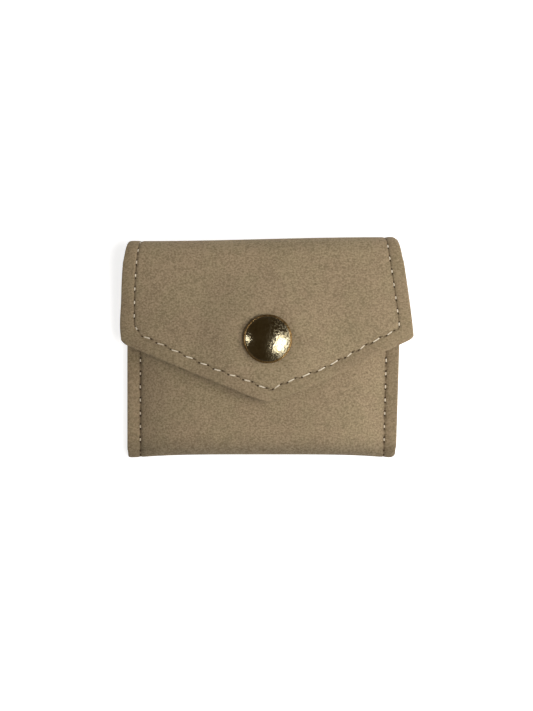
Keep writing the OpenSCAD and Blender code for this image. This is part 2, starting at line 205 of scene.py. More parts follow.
class WalletShape:
    """The outer faces of the strip and the flap, and the paths of their seams, in metres."""

    skew = 0.7 * MM             # how far the top fold rises from its middle to its right end
    skew_middle = -2 * MM       # where the rise is nothing
    skew_reach = 44 * MM        # how far from there it is full
    top_rise = 0.35 * MM        # how far the top fold's middle stands past the pattern
    fold_corners = (0.9 * MM, 2.2 * MM)     # rounding of the strip's left and right corners
    bottom_draw = 1.1 * MM      # how far the bottom fold is drawn up in the middle
    leans = (-1.0 * MM, -1.0 * MM), (1.5 * MM, -0.4 * MM)  # each side's shift at the mouth and the bottom
    fill_power = 4              # how full the pouch stays towards its side seams
    flap_droop = 6 * MM         # how far the side corners hang below the flap's middle
    fold_droop = 1.5 * MM       # the same at the end of the top fold
    cap_flat = 2 * MM           # width of the level ring round the cap
    point_round = 2.3 * MM      # length that the point's rounding takes from each lower edge
    point_shift = 0.45 * MM     # how far the point is off the snap's centre line
    slant = 0.05                # how much steeper the right lower edge is than the middle, as a share
    slant_reach = 5 * MM        # length from the point over which that sets in
    spreads = (0.7 * MM, 0.6 * MM)          # how far the side corners reach past the pattern's
    flare_eases = (3.3, 1.2)    # how early the left and the right side flare
    corners = (2.6 * MM, 1.8 * MM)          # how wide the left and right side corners are rounded
    corner_rises = (1.5 * MM, 1.5 * MM)     # how high the same
    right_sag = 0.5 * MM        # how far the right lower edge bows down halfway
    sag_place = 0.4             # where it bows most, as a share of the way to the side corner
    sag_width = 13 * MM         # how wide the bow is
    seam_margin = 1.09          # the lower seam's inset, as a share of the side seams'
    seam_cuts = (2.6 * MM, 0.8 * MM)        # how far before its side corners the seam turns
    # Place, depth and width, in mm, of the dips where the lower seam strays towards the edge.
    seam_dips = ((0.5, 0.9, 4), (-20, 1.0, 14), (20, 1.1, 13))
    curl = 1.3 * MM             # how far the left lower edge curls up off the pouch
    curl_start = -22 * MM       # where, going right, the curl starts to fade
    curl_fade = 26 * MM         # length over which it fades
    curl_depth = 14 * MM        # how far up the flap from its edge it reaches

    def __init__(self, sizes):
        shell_low, shell_high = box("outer_shell")
        flap_low, flap_high = box("flap_suede")
        cap_low, cap_high = box("snap_cap")
        hinges = [np.array(joint["pos_m"]) for joint in frame["record"]["behaviour"]["joints"]]
        self.sizes = sizes
        self.half = (shell_high[0] - shell_low[0]) / 2
        self.middle = (shell_high[0] + shell_low[0]) / 2
        self.seam_half = self.half - sizes.seam_inset
        self.bottom_y = shell_low[1]
        self.crown_z = shell_high[2]
        self.pinched_z = box("left_side_seam")[1][2] - PROUD
        self.fold_r = (hinges[0][2] + hinges[1][2]) / 2
        self.top_y = box("fold_suede")[1][1]
        self.fold_y = self.top_y - self.fold_r
        self.fold_length = self.fold_r * math.pi / 2
        self.mouth_y = self.top_y - sizes.mouth_drop
        self.corner_y = self.top_y - sizes.corner_drop
        self.flap_half = (flap_high[0] - flap_low[0]) / 2
        self.cap_r = (cap_high[0] - cap_low[0]) / 2
        self.snap = (cap_high + cap_low) / 2
        self.lift = cap_low[2] - 2 * self.fold_r
        self.tip_y = flap_low[1]
        self.slope = (self.corner_y - self.tip_y) / (self.flap_half - self.point_round)
        self.seam_rise = self.seam_margin * sizes.flap_seam_inset * math.hypot(1, self.slope)
        self.split_y = self.fold_y + self.fold_length

    # The pouch

    def fill(self, x):
        """How full the pouch is at x: 1 in the middle, 0 outside its side seams."""
        return 1 - np.minimum(1, np.abs(x - self.middle) / self.seam_half) ** self.fill_power

    def front_z(self, x):
        return self.pinched_z + (self.crown_z - self.pinched_z) * self.fill(x)

    def corner_ease(self, x):
        """How far a fold steps back near the strip's side edges."""
        radius = np.where(x < self.middle, *self.fold_corners)
        into = np.maximum(0, np.abs(x - self.middle) - (self.half - radius))
        return radius - np.sqrt(np.maximum(0, radius**2 - into**2))

    def top_line(self, x):
        """The top fold's outline."""
        rise = np.sin(np.clip((x - self.skew_middle) / self.skew_reach, -1, 1) * math.pi / 2)
        return self.top_y + self.top_rise + self.skew * rise - self.corner_ease(x)

    def lean(self, x, y):
        """How far the pouch's sides stand off their pattern at a height y."""
        down = np.clip((self.mouth_y - y) / (self.mouth_y - self.bottom_y), 0, 1)
        off = np.where(x < self.middle, *(a + (b - a) * down for a, b in self.leans))
        side = np.abs(x - self.middle) / self.half
        return off * side**2 * smooth((self.fold_y - y) / EASE_IN)

    # The flap

    def lower_edge(self, x):
        """The flap's lower outline, from side corner to side corner."""
        off = x - self.point_shift
        width = np.where(x < 0, *self.corners)
        reach = self.flap_half + np.where(x < 0, *self.spreads)
        into = np.clip((np.abs(x) - (reach - width)) / width, 0, 1)
        corner = np.where(x < 0, *self.corner_rises) * (1 - np.sqrt(1 - into**2))
        round_off = np.hypot(off, self.point_round) - self.point_round
        slope = self.slope * (1 + self.slant * np.tanh(off / self.slant_reach))
        sag = self.right_sag * bell(x - self.flap_half * self.sag_place, self.sag_width)
        return self.tip_y + slope * round_off + corner - sag

    def flap_z(self, x, y):
        """The flap's height: level round the cap, drooping to its sides, curled at the left."""
        down = np.clip((self.fold_y - y) / (self.fold_y - self.corner_y), 0, 1)
        droop = (self.fold_droop + (self.flap_droop - self.fold_droop) * down) \
            * (np.abs(x) / self.flap_half) ** 3
        flat = self.cap_r + self.cap_flat
        reach = self.fold_y - self.snap[1]
        away = (np.hypot(x, y - self.snap[1]) - flat) / (reach - flat)
        over_edge = (y - self.lower_edge(x)) / self.curl_depth
        left = 1 - smooth((x - self.curl_start) / self.curl_fade)
        curl = self.curl * left * (1 - smooth(over_edge))
        return 2 * self.fold_r - droop + self.lift * (1 - smooth(away)) + curl

    def flare(self, side, y):
        """How far the flap's side edge is outside the strip's, at height y."""
        down = np.clip((self.split_y - y) / (self.split_y - self.corner_y), 0, 1)
        full = self.flap_half + self.spreads[side > 0] - (self.half + side * self.middle)
        return full * (1 - (1 - down) ** self.flare_eases[side > 0])

    def side_edge(self, side, y):
        return self.middle + side * (self.half + self.flare(side, y))

    def flap_seam(self):
        """The flap's edge seam as evenly spaced points in the unrolled flap, from the top left
        round by the point to the top right, and the points' distance along it."""
        inset = self.sizes.flap_seam_inset
        rise = self.seam_rise
        sides = []
        ends = []
        for side, cut in zip((-1, 1), self.seam_cuts):
            corner_x = float(self.side_edge(side, self.corner_y)) - side * inset
            y = np.linspace(self.split_y, float(self.lower_edge(corner_x)) + rise + cut, 60)
            x = self.side_edge(side, y) - side * inset
            x = x + side * (inset - self.sizes.seam_inset) * smooth((y - self.fold_y) / self.fold_length)
            sides.append(np.stack([x, y], 1))
            ends.append(corner_x - side * cut)
        x = np.linspace(*ends, 200)
        dip = sum(depth * MM * bell(x - place * MM, width * MM) for place, depth, width in self.seam_dips)
        middle = np.stack([x, self.lower_edge(x) + rise - dip], 1)
        rough = np.concatenate([sides[0], middle, sides[1][::-1]])
        gone = np.concatenate([[0], np.cumsum(np.linalg.norm(np.diff(rough, axis=0), axis=1))])
        count = int(gone[-1] / SEAM_STEP)
        along = np.linspace(0, gone[-1], count)
        path = np.stack([np.interp(along, gone, rough[:, k]) for k in (0, 1)], 1)
        kernel = np.hanning(SEAM_WINDOW + 2)[1:-1]
        kernel /= kernel.sum()
        spare = SEAM_WINDOW // 2
        padded = np.concatenate([path[:1].repeat(spare, 0), path, path[-1:].repeat(spare, 0)])
        path = np.stack([np.convolve(padded[:, k], kernel, "valid") for k in (0, 1)], 1)
        return path, along


def undulation(a, b, seed):
    """Slow hand-made unevenness over a sheet, between -1 and 1, from a few crossed waves."""
    length = 9 * MM
    total = np.zeros(np.broadcast(a, b).shape)
    for k, (fa, fb, weight) in enumerate([(0.9, 0.5, 0.5), (-0.6, 1.1, 0.3), (1.7, -1.3, 0.2)]):
        total += weight * np.sin((fa * a + fb * b) / length + seed + 1.7 * k)
    return total


def stitch_wave(along):
    """1 at the middle of each stitch and 0 between stitches; along counts stitches."""
    return 0.5 + 0.5 * np.cos(2 * np.pi * along)


# ---------------------------------------------------------------------------------------------
# Meshes


def new_object(name, vertices, faces, attributes=None, sharp=()):
    """A smooth-shaded mesh object; faces are tuples of vertex numbers."""
    mesh = bpy.data.meshes.new(name)
    mesh.from_pydata(vertices.tolist(), [], faces)
    mesh.shade_smooth()
    for key, values in (attributes or {}).items():
        layer = mesh.attributes.new(key, "FLOAT_VECTOR", "POINT")
        layer.data.foreach_set("vector", np.ascontiguousarray(values, np.float32).ravel())
    if len(sharp):
        wanted = {frozenset(edge) for edge in sharp}
        flags = [frozenset(edge.vertices) in wanted for edge in mesh.edges]
        layer = mesh.attributes.new("sharp_edge", "BOOLEAN", "EDGE")
        layer.data.foreach_set("value", flags)
    mesh.validate()
    mesh.update()
    piece = bpy.data.objects.new(name, mesh)
    bpy.context.scene.collection.objects.link(piece)
    return piece


def grid_normals(points):
    """Unit normals of a grid of points, whose rows are its first axis."""
    across = np.gradient(points, axis=0)
    down = np.gradient(points, axis=1)
    normal = np.cross(across, down)
    return normal / np.maximum(np.linalg.norm(normal, axis=2, keepdims=True), 1e-12)


def ply(name, face, normal, thickness, edge, joined_row=False, attributes=None):
    """A closed sheet under a grid of points. edge is each point's distance from the cut edge, where
    the ply is rounded. The first column is a flat cut where joined_row is set, as the sheet goes on
    in the next piece there."""
    radius = thickness / 2
    into = 1 - np.minimum(edge, radius) / radius
    ease = (radius * (1 - np.sqrt(np.maximum(0, 1 - into**2))))[..., None]
    outer = face - normal * ease
    inner = face - normal * (thickness - ease)
    rows, columns = edge.shape
    outer_ids = np.arange(rows * columns).reshape(rows, columns)
    inner_ids = outer_ids + rows * columns
    inner_ids[0], inner_ids[-1], inner_ids[:, -1] = outer_ids[0], outer_ids[-1], outer_ids[:, -1]
    if not joined_row:
        inner_ids[:, 0] = outer_ids[:, 0]
    used, compact = np.unique(np.concatenate([outer_ids.ravel(), inner_ids.ravel()]), return_inverse=True)
    outer_ids = compact[: rows * columns].reshape(rows, columns)
    inner_ids = compact[rows * columns:].reshape(rows, columns)
    vertices = np.concatenate([outer.reshape(-1, 3), inner.reshape(-1, 3)])[used]

    def quads(ids):
        return np.stack([ids[:-1, :-1], ids[1:, :-1], ids[1:, 1:], ids[:-1, 1:]], -1).reshape(-1, 4)

    faces = quads(outer_ids).tolist() + quads(inner_ids)[:, ::-1].tolist()
    sharp = []
    if joined_row:
        for i in range(rows - 1):
            ring = [outer_ids[i, 0], inner_ids[i, 0], inner_ids[i + 1, 0], outer_ids[i + 1, 0]]
            faces.append(list(dict.fromkeys(int(v) for v in ring)))
            sharp += [(int(ring[0]), int(ring[3])), (int(ring[1]), int(ring[2]))]
    layers = {}
    for key, values in (attributes or {}).items():
        layers[key] = np.concatenate([values.reshape(-1, 3)] * 2)[used]
    return new_object(name, vertices, faces, layers, sharp)


def edge_distances(rounding, seam, length, step):
    """Distances from an edge: close together in the edge's rounding and around a seam, and no
    further apart than step up to length."""
    round_off = rounding * (1 - np.cos(np.linspace(0, 90, EDGE_STEPS + 1) * DEGREE))
    before = np.linspace(rounding, seam - SEAM_REACH, 5)[1:]
    fine = np.linspace(seam - SEAM_REACH, seam + SEAM_REACH, 17)[1:]
    count = max(2, int(math.ceil((length - fine[-1]) / step)))
    rest = np.linspace(fine[-1], length, count + 1)[1:]
    return np.concatenate([round_off, before, fine, rest])


def set_back(distances, setback):
    """The same distances for a ply that ends a little way in from the edge."""
    if not setback:
        return distances
    return np.concatenate([[setback], distances[distances > setback + 0.1 * MM]])


def fold_angles():
    """Angles from the line where two pieces meet to the end of a quarter fold."""
    even = np.linspace(0, 90, FOLD_STEPS + 1)
    return np.insert(even, 1, even[1] * JOIN_STEP) * DEGREE


def strip_sections(shape, x, lip, step):
    """Rows of the strip's outer face over x, from the top fold down the back, round the bottom and
    up the front, where lip holds the last rows' distances from the mouth. Each row is its y, its z,
    how far above the top fold's flat side it is, and its stretch."""
    height = shape.front_z(x)
    bottom_r = height / 2
    flat = np.zeros_like(x)
    top = shape.top_line(x)
    bottom = shape.bottom_y + shape.bottom_draw * shape.fill(x) + shape.corner_ease(x)
    sections = []
    for angle in 90 * DEGREE - fold_angles():
        y = top - shape.fold_r * (1 - np.sin(angle))
        sections.append((y, flat + shape.fold_r * (1 - np.cos(angle)), flat + angle * shape.fold_r, FOLD))
    back_rows = int((shape.fold_y - shape.bottom_y) / step)
    for share in np.linspace(0, 1, back_rows)[1:]:
        y = (top - shape.fold_r) * (1 - share) + (bottom + bottom_r) * share
        sections.append((y, flat, y - shape.fold_y, BACK))
    for angle in np.linspace(0, 180, 2 * FOLD_STEPS + 1)[1:] * DEGREE:
        y = bottom + bottom_r * (1 - np.sin(angle))
        sections.append((y, bottom_r * (1 - np.cos(angle)), y - shape.fold_y, BOTTOM))
    front_rows = int((shape.mouth_y - lip[0] - shape.bottom_y) / step)
    for share in np.linspace(0, 1, front_rows)[1:]:
        y = (bottom + bottom_r) * (1 - share) + (shape.mouth_y - lip[0]) * share
        sections.append((y, height, y - shape.fold_y, FRONT))
    for distance in lip[1:]:
        y = np.full_like(x, shape.mouth_y - distance)
        sections.append((y, height, y - shape.fold_y, FRONT))
    return sections


def strip_grid(shape, step, setback=0.0):
    """The strip's outer face as a grid: its points, the distance of each from the cut edge, its
    place across and along the strip, its stretch, and its distance from the mouth."""
    sizes = shape.sizes
    rounding = sizes.suede_thickness / 2
    lip_depth = 20 * MM
    edge = set_back(edge_distances(rounding, sizes.seam_inset, shape.half, step), setback)
    lip = set_back(edge_distances(rounding, sizes.hem_inset, lip_depth, step), setback)[::-1]
    x = shape.middle + np.concatenate([edge - shape.half, (shape.half - edge)[::-1][1:]])
    side_distance = shape.half - np.abs(x - shape.middle)
    sections = strip_sections(shape, x, lip, step)
    y, z, along, section = (np.stack([np.broadcast_to(s[k], x.shape) for s in sections], 1) for k in range(4))
    leaning = x[:, None] + shape.lean(x[:, None], y)
    points = np.stack([leaning, y, z], -1)
    mouth = np.where(section == FRONT, shape.mouth_y - y, 1.0)
    cut = np.minimum(side_distance[:, None], mouth) - setback
    across = np.broadcast_to(x[:, None], y.shape)
    return points, np.maximum(cut, 0), across, along, section, mouth


def strip_seams(shape, x, along, mouth):
    """For each point of the strip: how far across the nearest seam it is in millimetres, how far
    along it in stitches, and half the visible length of its stitches as a share of the pitch."""
    sizes = shape.sizes
    side = np.abs(x - shape.middle) - shape.seam_half
    hem = sizes.hem_inset - mouth
    first = (shape.mouth_y - shape.fold_y) / sizes.side_pitch + 0.5
    by_side = along / sizes.side_pitch - first
    by_hem = x / sizes.side_pitch
    near_hem = np.abs(hem) < np.abs(side)
    across = np.where(near_hem, hem, side)
    run = np.where(near_hem, by_hem, by_side)
    return np.stack([across / MM, run, np.full_like(run, SIDE_SHARE)], -1)


def sew_in(points, normal, seams, edge):
    """Draws the seams into a face: a groove along each, deeper at the stitches, and a slightly
    puffed margin between the seam and the cut edge."""
    across = np.abs(seams[..., 0]) * MM
    groove = 0.20 * MM * bell(across, 0.55 * MM)
    pull = 0.16 * MM * bell(across, 1.3 * MM) * stitch_wave(seams[..., 1])
    margin = 0.10 * MM * bell(edge - 2.2 * MM, 1.6 * MM)
    return points + normal * (margin - groove - pull)[..., None]


def build_strip(shape):
    """The suede strip of the pouch, as one closed sheet."""
    points, edge, x, along, section, mouth = strip_grid(shape, SUEDE_STEP)
    normal = grid_normals(points)
    seams = strip_seams(shape, x, along, mouth)
    face = sew_in(points, normal, seams, edge)
    wave = undulation(points[..., 0], points[..., 1], 0.4) * 0.10 * MM * (section == FRONT)
    face = face + normal * wave[..., None]
    face[..., 2] = np.where(section == BACK, np.maximum(face[..., 2], 0), face[..., 2])
    return ply("strip_suede", face, normal, shape.sizes.suede_thickness, edge, True, {"seam": seams})


def flared(shape, column, y):
    """Places across the flap at heights y, drawn out towards its flaring side edges."""
    start, band = 14 * MM, 8 * MM
    near_side = smooth((np.abs(column) - start) / (shape.half - band - start))
    flare = np.where(column < 0, shape.flare(-1, y), shape.flare(1, y))
    return shape.middle + column + near_side * np.sign(column) * flare


def flap_grid(shape, step, setback=0.0):
    """The flap's outer face from the top fold's middle line to its lower edge: its points, the
    distance of each from the cut edge, and its place in the unrolled flap."""
    sizes = shape.sizes
    rounding = sizes.suede_thickness / 2
    low_depth, low_step = 10 * MM, 0.6 * MM
    edge = set_back(edge_distances(rounding, sizes.flap_seam_inset, shape.half, step), setback)
    low = set_back(edge_distances(rounding, shape.seam_rise, low_depth, low_step), setback)[::-1]
    column = np.concatenate([shape.half - edge, (edge - shape.half)[::-1][1:]])
    side_distance = shape.half - np.abs(column)
    quarter = fold_angles()
    fold_start = shape.top_line(shape.middle + column) - shape.fold_r
    rows = [fold_start + (1 - angle / (90 * DEGREE)) * shape.fold_length for angle in quarter]
    foot = shape.lower_edge(flared(shape, column, shape.corner_y))
    high_rows = int((shape.fold_y - shape.tip_y) / step)
    for share in np.linspace(0, 1, high_rows)[1:]:
        rows.append(fold_start * (1 - share) + (foot + low[0]) * share)
    for distance in low[1:]:
        rows.append(foot + distance)
    flat_y = np.stack(rows, 1)
    x = flared(shape, column[:, None], flat_y)
    folded = len(quarter)
    y, z = flat_y.copy(), np.zeros_like(flat_y)
    z[:, folded:] = shape.flap_z(x[:, folded:], y[:, folded:])
    crown = shape.flap_z(x[:, folded - 1], fold_start)
    for k, angle in enumerate(quarter):
        y[:, k] = fold_start + shape.fold_r * math.cos(angle)
        z[:, k] = shape.fold_r + (crown - shape.fold_r) * math.sin(angle)
    low_distance = (flat_y - shape.lower_edge(x)) / math.hypot(1, shape.slope)
    cut = np.minimum(side_distance[:, None], low_distance) - setback
    return np.stack([x, y, z], -1), np.maximum(cut, 0), np.stack([x, flat_y], -1)


def flap_seams(shape, flat):
    """For each point of the flap: millimetres across its seam, stitches along it from the point's
    hole, and half the visible length of its stitches as a share of the pitch."""
    path, along = shape.flap_seam()
    tangent = np.gradient(path, axis=0)
    tangent /= np.linalg.norm(tangent, axis=1, keepdims=True)
    places = flat.reshape(-1, 2)
    across = np.empty(len(places))
    run = np.empty(len(places))
    batch = 4000
    for start in range(0, len(places), batch):
        part = places[start:start + batch]
        gap = part[:, None, :] - path[None]
        nearest = (gap**2).sum(2).argmin(1)
        offset = part - path[nearest]
        direction = tangent[nearest]
        across[start:start + batch] = offset[:, 0] * direction[:, 1] - offset[:, 1] * direction[:, 0]
        run[start:start + batch] = along[nearest] + (offset * direction).sum(1)
    stitches, half = stitch_count(shape, run)
    return np.stack([across / MM, stitches, half], -1).reshape(*flat.shape[:2], 3)


def stitch_count(shape, run):
    """Stitches along the flap's seam from its point, and half the visible length of a stitch as a
    share of the pitch: wide apart and long on the lower edges, closer and short on the sides."""
    path, along = shape.flap_seam()
    point = along[path[:, 1].argmin()]
    sizes = shape.sizes
    lower = math.hypot(1, shape.slope) * (shape.flap_half - sizes.flap_seam_inset)
    lower = round(lower / sizes.edge_pitch) * sizes.edge_pitch
    off = run - point
    beyond = np.maximum(0, np.abs(off) - lower)
    count = np.sign(off) * (np.minimum(np.abs(off), lower) / sizes.edge_pitch + beyond / sizes.side_pitch)
    return count + 0.5, np.where(beyond > 0, SIDE_SHARE, EDGE_SHARE)


def build_flap(shape):
    """The suede of the flap and of the top fold's upper half, as one closed sheet, with its sewn
    face, the face's normals and their places in the unrolled flap."""
    points, edge, flat = flap_grid(shape, SUEDE_STEP)
    normal = grid_normals(points)
    seams = flap_seams(shape, flat)
    face = sew_in(points, normal, seams, edge)
    away = np.hypot(points[..., 0] - shape.snap[0], points[..., 1] - shape.snap[1])
    dent = 0.18 * MM * bell(away - shape.cap_r, 1.5 * MM)
    clear = smooth((away - shape.cap_r) / (6 * MM)) * smooth((shape.fold_y - flat[..., 1]) / EASE_IN)
    wave = undulation(points[..., 0], points[..., 1], 2.1) * 0.14 * MM * clear
    face = face + normal * (wave - dent)[..., None]
    skin = ply("flap_suede_skin", face, normal, shape.sizes.suede_thickness, edge, True, {"seam": seams})
    return skin, face, normal, flat


def lining_under(name, points, edge, shape):
    """The lining ply, a small gap under a suede face."""
    normal = grid_normals(points)
    face = points - normal * (shape.sizes.suede_thickness + PLY_GAP)
    return ply(name, face, normal, shape.sizes.lining_thickness, edge, True)


def build_pocket(shape, name, node, seed):
    """One card pocket's sheet, a little slack along its open edge."""
    low, high = box(node)
    thickness = shape.sizes.lining_thickness
    edge = edge_distances(thickness / 2, 2 * MM, shape.half - 0.6 * MM, LINING_STEP)
    x = shape.middle + np.concatenate([edge - edge[-1], (edge[-1] - edge)[::-1][1:]])
    down = edge_distances(thickness / 2, POCKET_HEM, (high[1] - low[1]) / 2, LINING_STEP)
    y = np.concatenate([low[1] + down, (high[1] - down)[::-1][1:]])
    grid_x, grid_y = np.meshgrid(x, y, indexing="ij")
    base = high[2] - (high[2] - low[2] - thickness) * (1 - shape.fill(grid_x))
    slack = 0.18 * MM * shape.fill(grid_x) * smooth((grid_y - low[1]) / (high[1] - low[1]))
    rise = slack * (undulation(grid_x, grid_y, seed) - 1) * 0.5
    points = np.stack([grid_x, grid_y, base + rise], -1)
    cut = np.minimum(edge[-1] - np.abs(grid_x - shape.middle), np.minimum(high[1] - grid_y, grid_y - low[1]))
    return ply(name, points, grid_normals(points), thickness, np.maximum(cut, 0))


def thread_stitch(start, end, up, width, proud, skew=0.0):
    """The vertices and faces of one stitch: a twisted two-strand thread that comes up from a hole
    at start, lies on the surface and goes down into a hole at end."""
    start, end, up = (np.asarray(value, float) for value in (start, end, up))
    run = end - start
    length = np.linalg.norm(run)
    forward = run / length
    sideways = np.cross(up, forward)
    sideways /= np.linalg.norm(sideways)
    rings, sides = 15, 12
    share = np.linspace(0, 1, rings)
    bow = 1 - np.abs(2 * share - 1) ** 4
    sink = 0.55 * MM
    lay = 0.9 * MM
    height = -sink + (sink + proud - width / 2) * bow
    centre = start + share[:, None] * run + height[:, None] * up + ((0.5 - share) * skew)[:, None] * sideways
    radius = width / 2 * (0.72 + 0.28 * np.minimum(1, 3 * bow))
    angle = np.linspace(0, 2 * np.pi, sides, endpoint=False)
    twist = length / lay * np.pi * share
    lobes = 0.80 + 0.20 * np.abs(np.cos(angle[None] - twist[:, None]))
    ring = (radius[:, None] * lobes)[..., None] * (
        np.cos(angle)[None, :, None] * sideways + 0.9 * np.sin(angle)[None, :, None] * up)
    vertices = (centre[:, None] + ring).reshape(-1, 3)
    faces = []
    for i in range(rings - 1):
        for j in range(sides):
            k = (j + 1) % sides
            faces.append((i * sides + j, i * sides + k, (i + 1) * sides + k, (i + 1) * sides + j))
    faces.append(tuple(range(sides))[::-1])
    faces.append(tuple(range((rings - 1) * sides, rings * sides)))
    return vertices, faces


def join_stitches(name, stitches):
    """One object of many stitches."""
    vertices, faces, base = [], [], 0
    for points, quads in stitches:
        vertices.append(points)
        faces += [tuple(v + base for v in quad) for quad in quads]
        base += len(points)
    return new_object(name, np.concatenate(vertices), faces)


def lathe(name, profile, segments=96):
    """A surface of revolution about Z of a closed profile of (radius, height) points."""
    profile = np.array(profile)
    count = len(profile)
    turn = np.linspace(0, 2 * np.pi, segments, endpoint=False)
    vertices = np.stack([
        np.outer(np.cos(turn), profile[:, 0]), np.outer(np.sin(turn), profile[:, 0]),
        np.broadcast_to(profile[:, 1], (segments, count))], -1).reshape(-1, 3)
    faces = []
    for i in range(segments):
        for j in range(count):
            a, b = i * count + j, i * count + (j + 1) % count
            c, d = (b + count) % len(vertices), (a + count) % len(vertices)
            faces.append((a, d, c, b))
    piece = new_object(name, vertices, faces)
    tidy = bmesh.new()
    tidy.from_mesh(piece.data)
    bmesh.ops.remove_doubles(tidy, verts=tidy.verts, dist=0.001 * MM)
    bmesh.ops.recalc_face_normals(tidy, faces=tidy.faces)
    tidy.to_mesh(piece.data)
    tidy.free()
    return piece


def arc(centre, radius, start, end, steps):
    """Points on an arc in a profile; angles are in degrees from the radius's direction."""
    angles = np.linspace(start, end, steps) * DEGREE
    return [(centre[0] + radius * math.cos(a), centre[1] + radius * math.sin(a)) for a in angles]


def stand_at(piece, x, y, z):
    """Moves a piece's mesh to a place, and leaves the object itself at the origin."""
    piece.data.transform(Matrix.Translation((x, y, z)))
    return piece


# ---------------------------------------------------------------------------------------------
# The snap


def build_cap(shape):
    """The snap's cap: a shallow dome inside a rolled bead, curled under at its base."""
    low, high = box("snap_cap")
    rise = high[2] - low[2]
    radius = shape.cap_r + 0.2 * MM
    bead = 0.45 * MM
    base_r = 0.5 * MM
    lip = 1.6 * MM
    hollow = 0.4 * MM
    dome_edge = radius - 2 * bead + 0.25 * MM
    dome_h = 1.45 * MM
    dome_r = (dome_edge**2 + dome_h**2) / (2 * dome_h)
    dome = []
    for share in np.linspace(0, 1, 36):
        angle = share * math.asin(dome_edge / dome_r)
        dome.append((dome_r * math.sin(angle), rise - dome_r * (1 - math.cos(angle))))
    valley = rise - dome_h - 0.12 * MM
    bead_top = (radius - bead, valley - bead + 0.12 * MM)
    profile = dome + [(dome_edge + 0.08 * MM, valley)] + arc(bead_top, bead, 100, 0, 10)
    profile += arc((radius - base_r, base_r), base_r, 0, -90, 7)
    profile += [(radius - lip, 0), (radius - lip, hollow), (0, hollow)]
    return stand_at(lathe("snap_cap_dome", profile, 160), 0, shape.snap[1], low[2])


def build_post(shape):
    """The post that holds the socket to the cap: a tube with a flange under the cap and its foot
    clenched over below the socket."""
    low, high = box("cap_post")
    flange = high[0]
    thick = 0.4 * MM
    tube = 2 * MM
    height = high[2] - low[2]
    foot = arc((tube + thick / 2, thick * 0.75), thick * 0.75, 60, -180, 14)
    profile = [(tube, thick * 1.4)] + foot + [(tube - thick, thick)]
    profile += [(tube - thick, height)]
    profile += arc((flange - thick / 2, height - thick / 2), thick / 2, 90, -90, 8)
    profile += [(tube, height - thick)]
    return stand_at(lathe("post_tube", profile, 72), 0, shape.snap[1], low[2])


def build_socket(shape):
    """The snap's socket: a pressed cup with a rolled mouth that holds the spring."""
    low, high = box("snap_socket")
    wall = high[0]
    thick = 0.4 * MM
    height = high[2] - low[2]
    hole = 2.06 * MM
    bend = 0.7 * MM
    mouth = 3.85 * MM
    profile = [(hole, height), (hole, height - thick), (wall - thick - bend, height - thick)]
    profile += arc((wall - thick - bend * 0.7, height - thick - bend * 0.7), bend * 0.7, 90, 0, 6)
    profile += arc((wall - 1.0 * MM, 0.8 * MM), 0.45 * MM, 0, -90, 6)
    profile += [(mouth + 0.2 * MM, 0.4 * MM)]
    profile += arc((mouth + 0.2 * MM, 0.2 * MM), 0.2 * MM, 90, 270, 7)[1:]
    profile += arc((wall - 0.8 * MM, 0.8 * MM), 0.8 * MM, -90, 0, 8)
    profile += arc((wall - bend, height - bend), bend, 0, 90, 8)
    return stand_at(lathe("socket_cup", profile, 120), 0, shape.snap[1], low[2])


def build_spring(shape):
    """The split ring of spring wire inside the socket."""
    low, high = box("snap_spring")
    wire = (high[2] - low[2]) / 2
    ring_r = high[0] - wire
    opening = 30
    steps, sides = 64, 14
    end_size = 0.75
    vertices, faces = [], []
    for k in range(steps + 1):
        turn = (90 + opening / 2 + (360 - opening) * k / steps) * DEGREE
        size = wire * (end_size if k in (0, steps) else 1)
        for j in range(sides):
            angle = 2 * math.pi * j / sides
            reach = ring_r + size * math.cos(angle)
            vertices.append((reach * math.cos(turn), reach * math.sin(turn), wire + size * math.sin(angle)))
    for k in range(steps):
        for j in range(sides):
            a, b = k * sides + j, k * sides + (j + 1) % sides
            faces.append((a, a + sides, b + sides, b))
    faces.append(tuple(range(sides)))
    faces.append(tuple(range(steps * sides, (steps + 1) * sides))[::-1])
    piece = new_object("socket_spring", np.array(vertices), faces)
    return stand_at(piece, 0, shape.snap[1], low[2])


def build_stud(shape):
    """The stud that the socket snaps over: a flange, a neck and a rounded head."""
    low, high = box("snap_stud")
    flange = high[0]
    height = high[2] - low[2]
    bore = 1.56 * MM
    head = 3.1 * MM
    neck = 2.5 * MM
    profile = [(bore, 0)] + arc((flange - 0.2 * MM, 0.2 * MM), 0.2 * MM, -90, 90, 8)
    profile += arc((neck + 0.3 * MM, 0.7 * MM), 0.3 * MM, -90, -180, 5)
    profile += arc((head - 0.45 * MM, height - 0.62 * MM), 0.45 * MM, -40, 75, 9)
    profile += [(bore + 0.3 * MM, height), (bore, height - 0.1 * MM)]
    return stand_at(lathe("stud_head", profile, 96), 0, shape.snap[1], low[2])


def build_stud_rivet(shape):
    """The rivet that holds the stud from inside the pouch, rolled over on the stud's head."""
    low, high = box("stud_rivet")
    flange = high[0]
    height = high[2] - low[2]
    thick = 0.4 * MM
    tube = 1.5 * MM
    profile = [(tube - thick, 0)]
    profile += arc((flange - thick / 2, thick / 2), thick / 2, -90, 90, 8) + [(tube, thick)]
    profile += [(tube, height - 0.27 * MM)]
    profile += arc((tube + 0.15 * MM, height - 0.13 * MM), 0.13 * MM, -90, 90, 7)
    profile += [(tube - thick, height)]
    return stand_at(lathe("rivet_tube", profile, 64), 0, shape.snap[1], low[2])


# ---------------------------------------------------------------------------------------------
# The stitching


def seam_stitch(at, along, up, length, sizes):
    """One stitch on a sewn face, centred at a point."""
    at, along = np.asarray(at, float), np.asarray(along, float)
    along = along / np.linalg.norm(along)
    return thread_stitch(at - along * length / 2, at + along * length / 2, up,
                         sizes.thread_width, STITCH_PROUD)


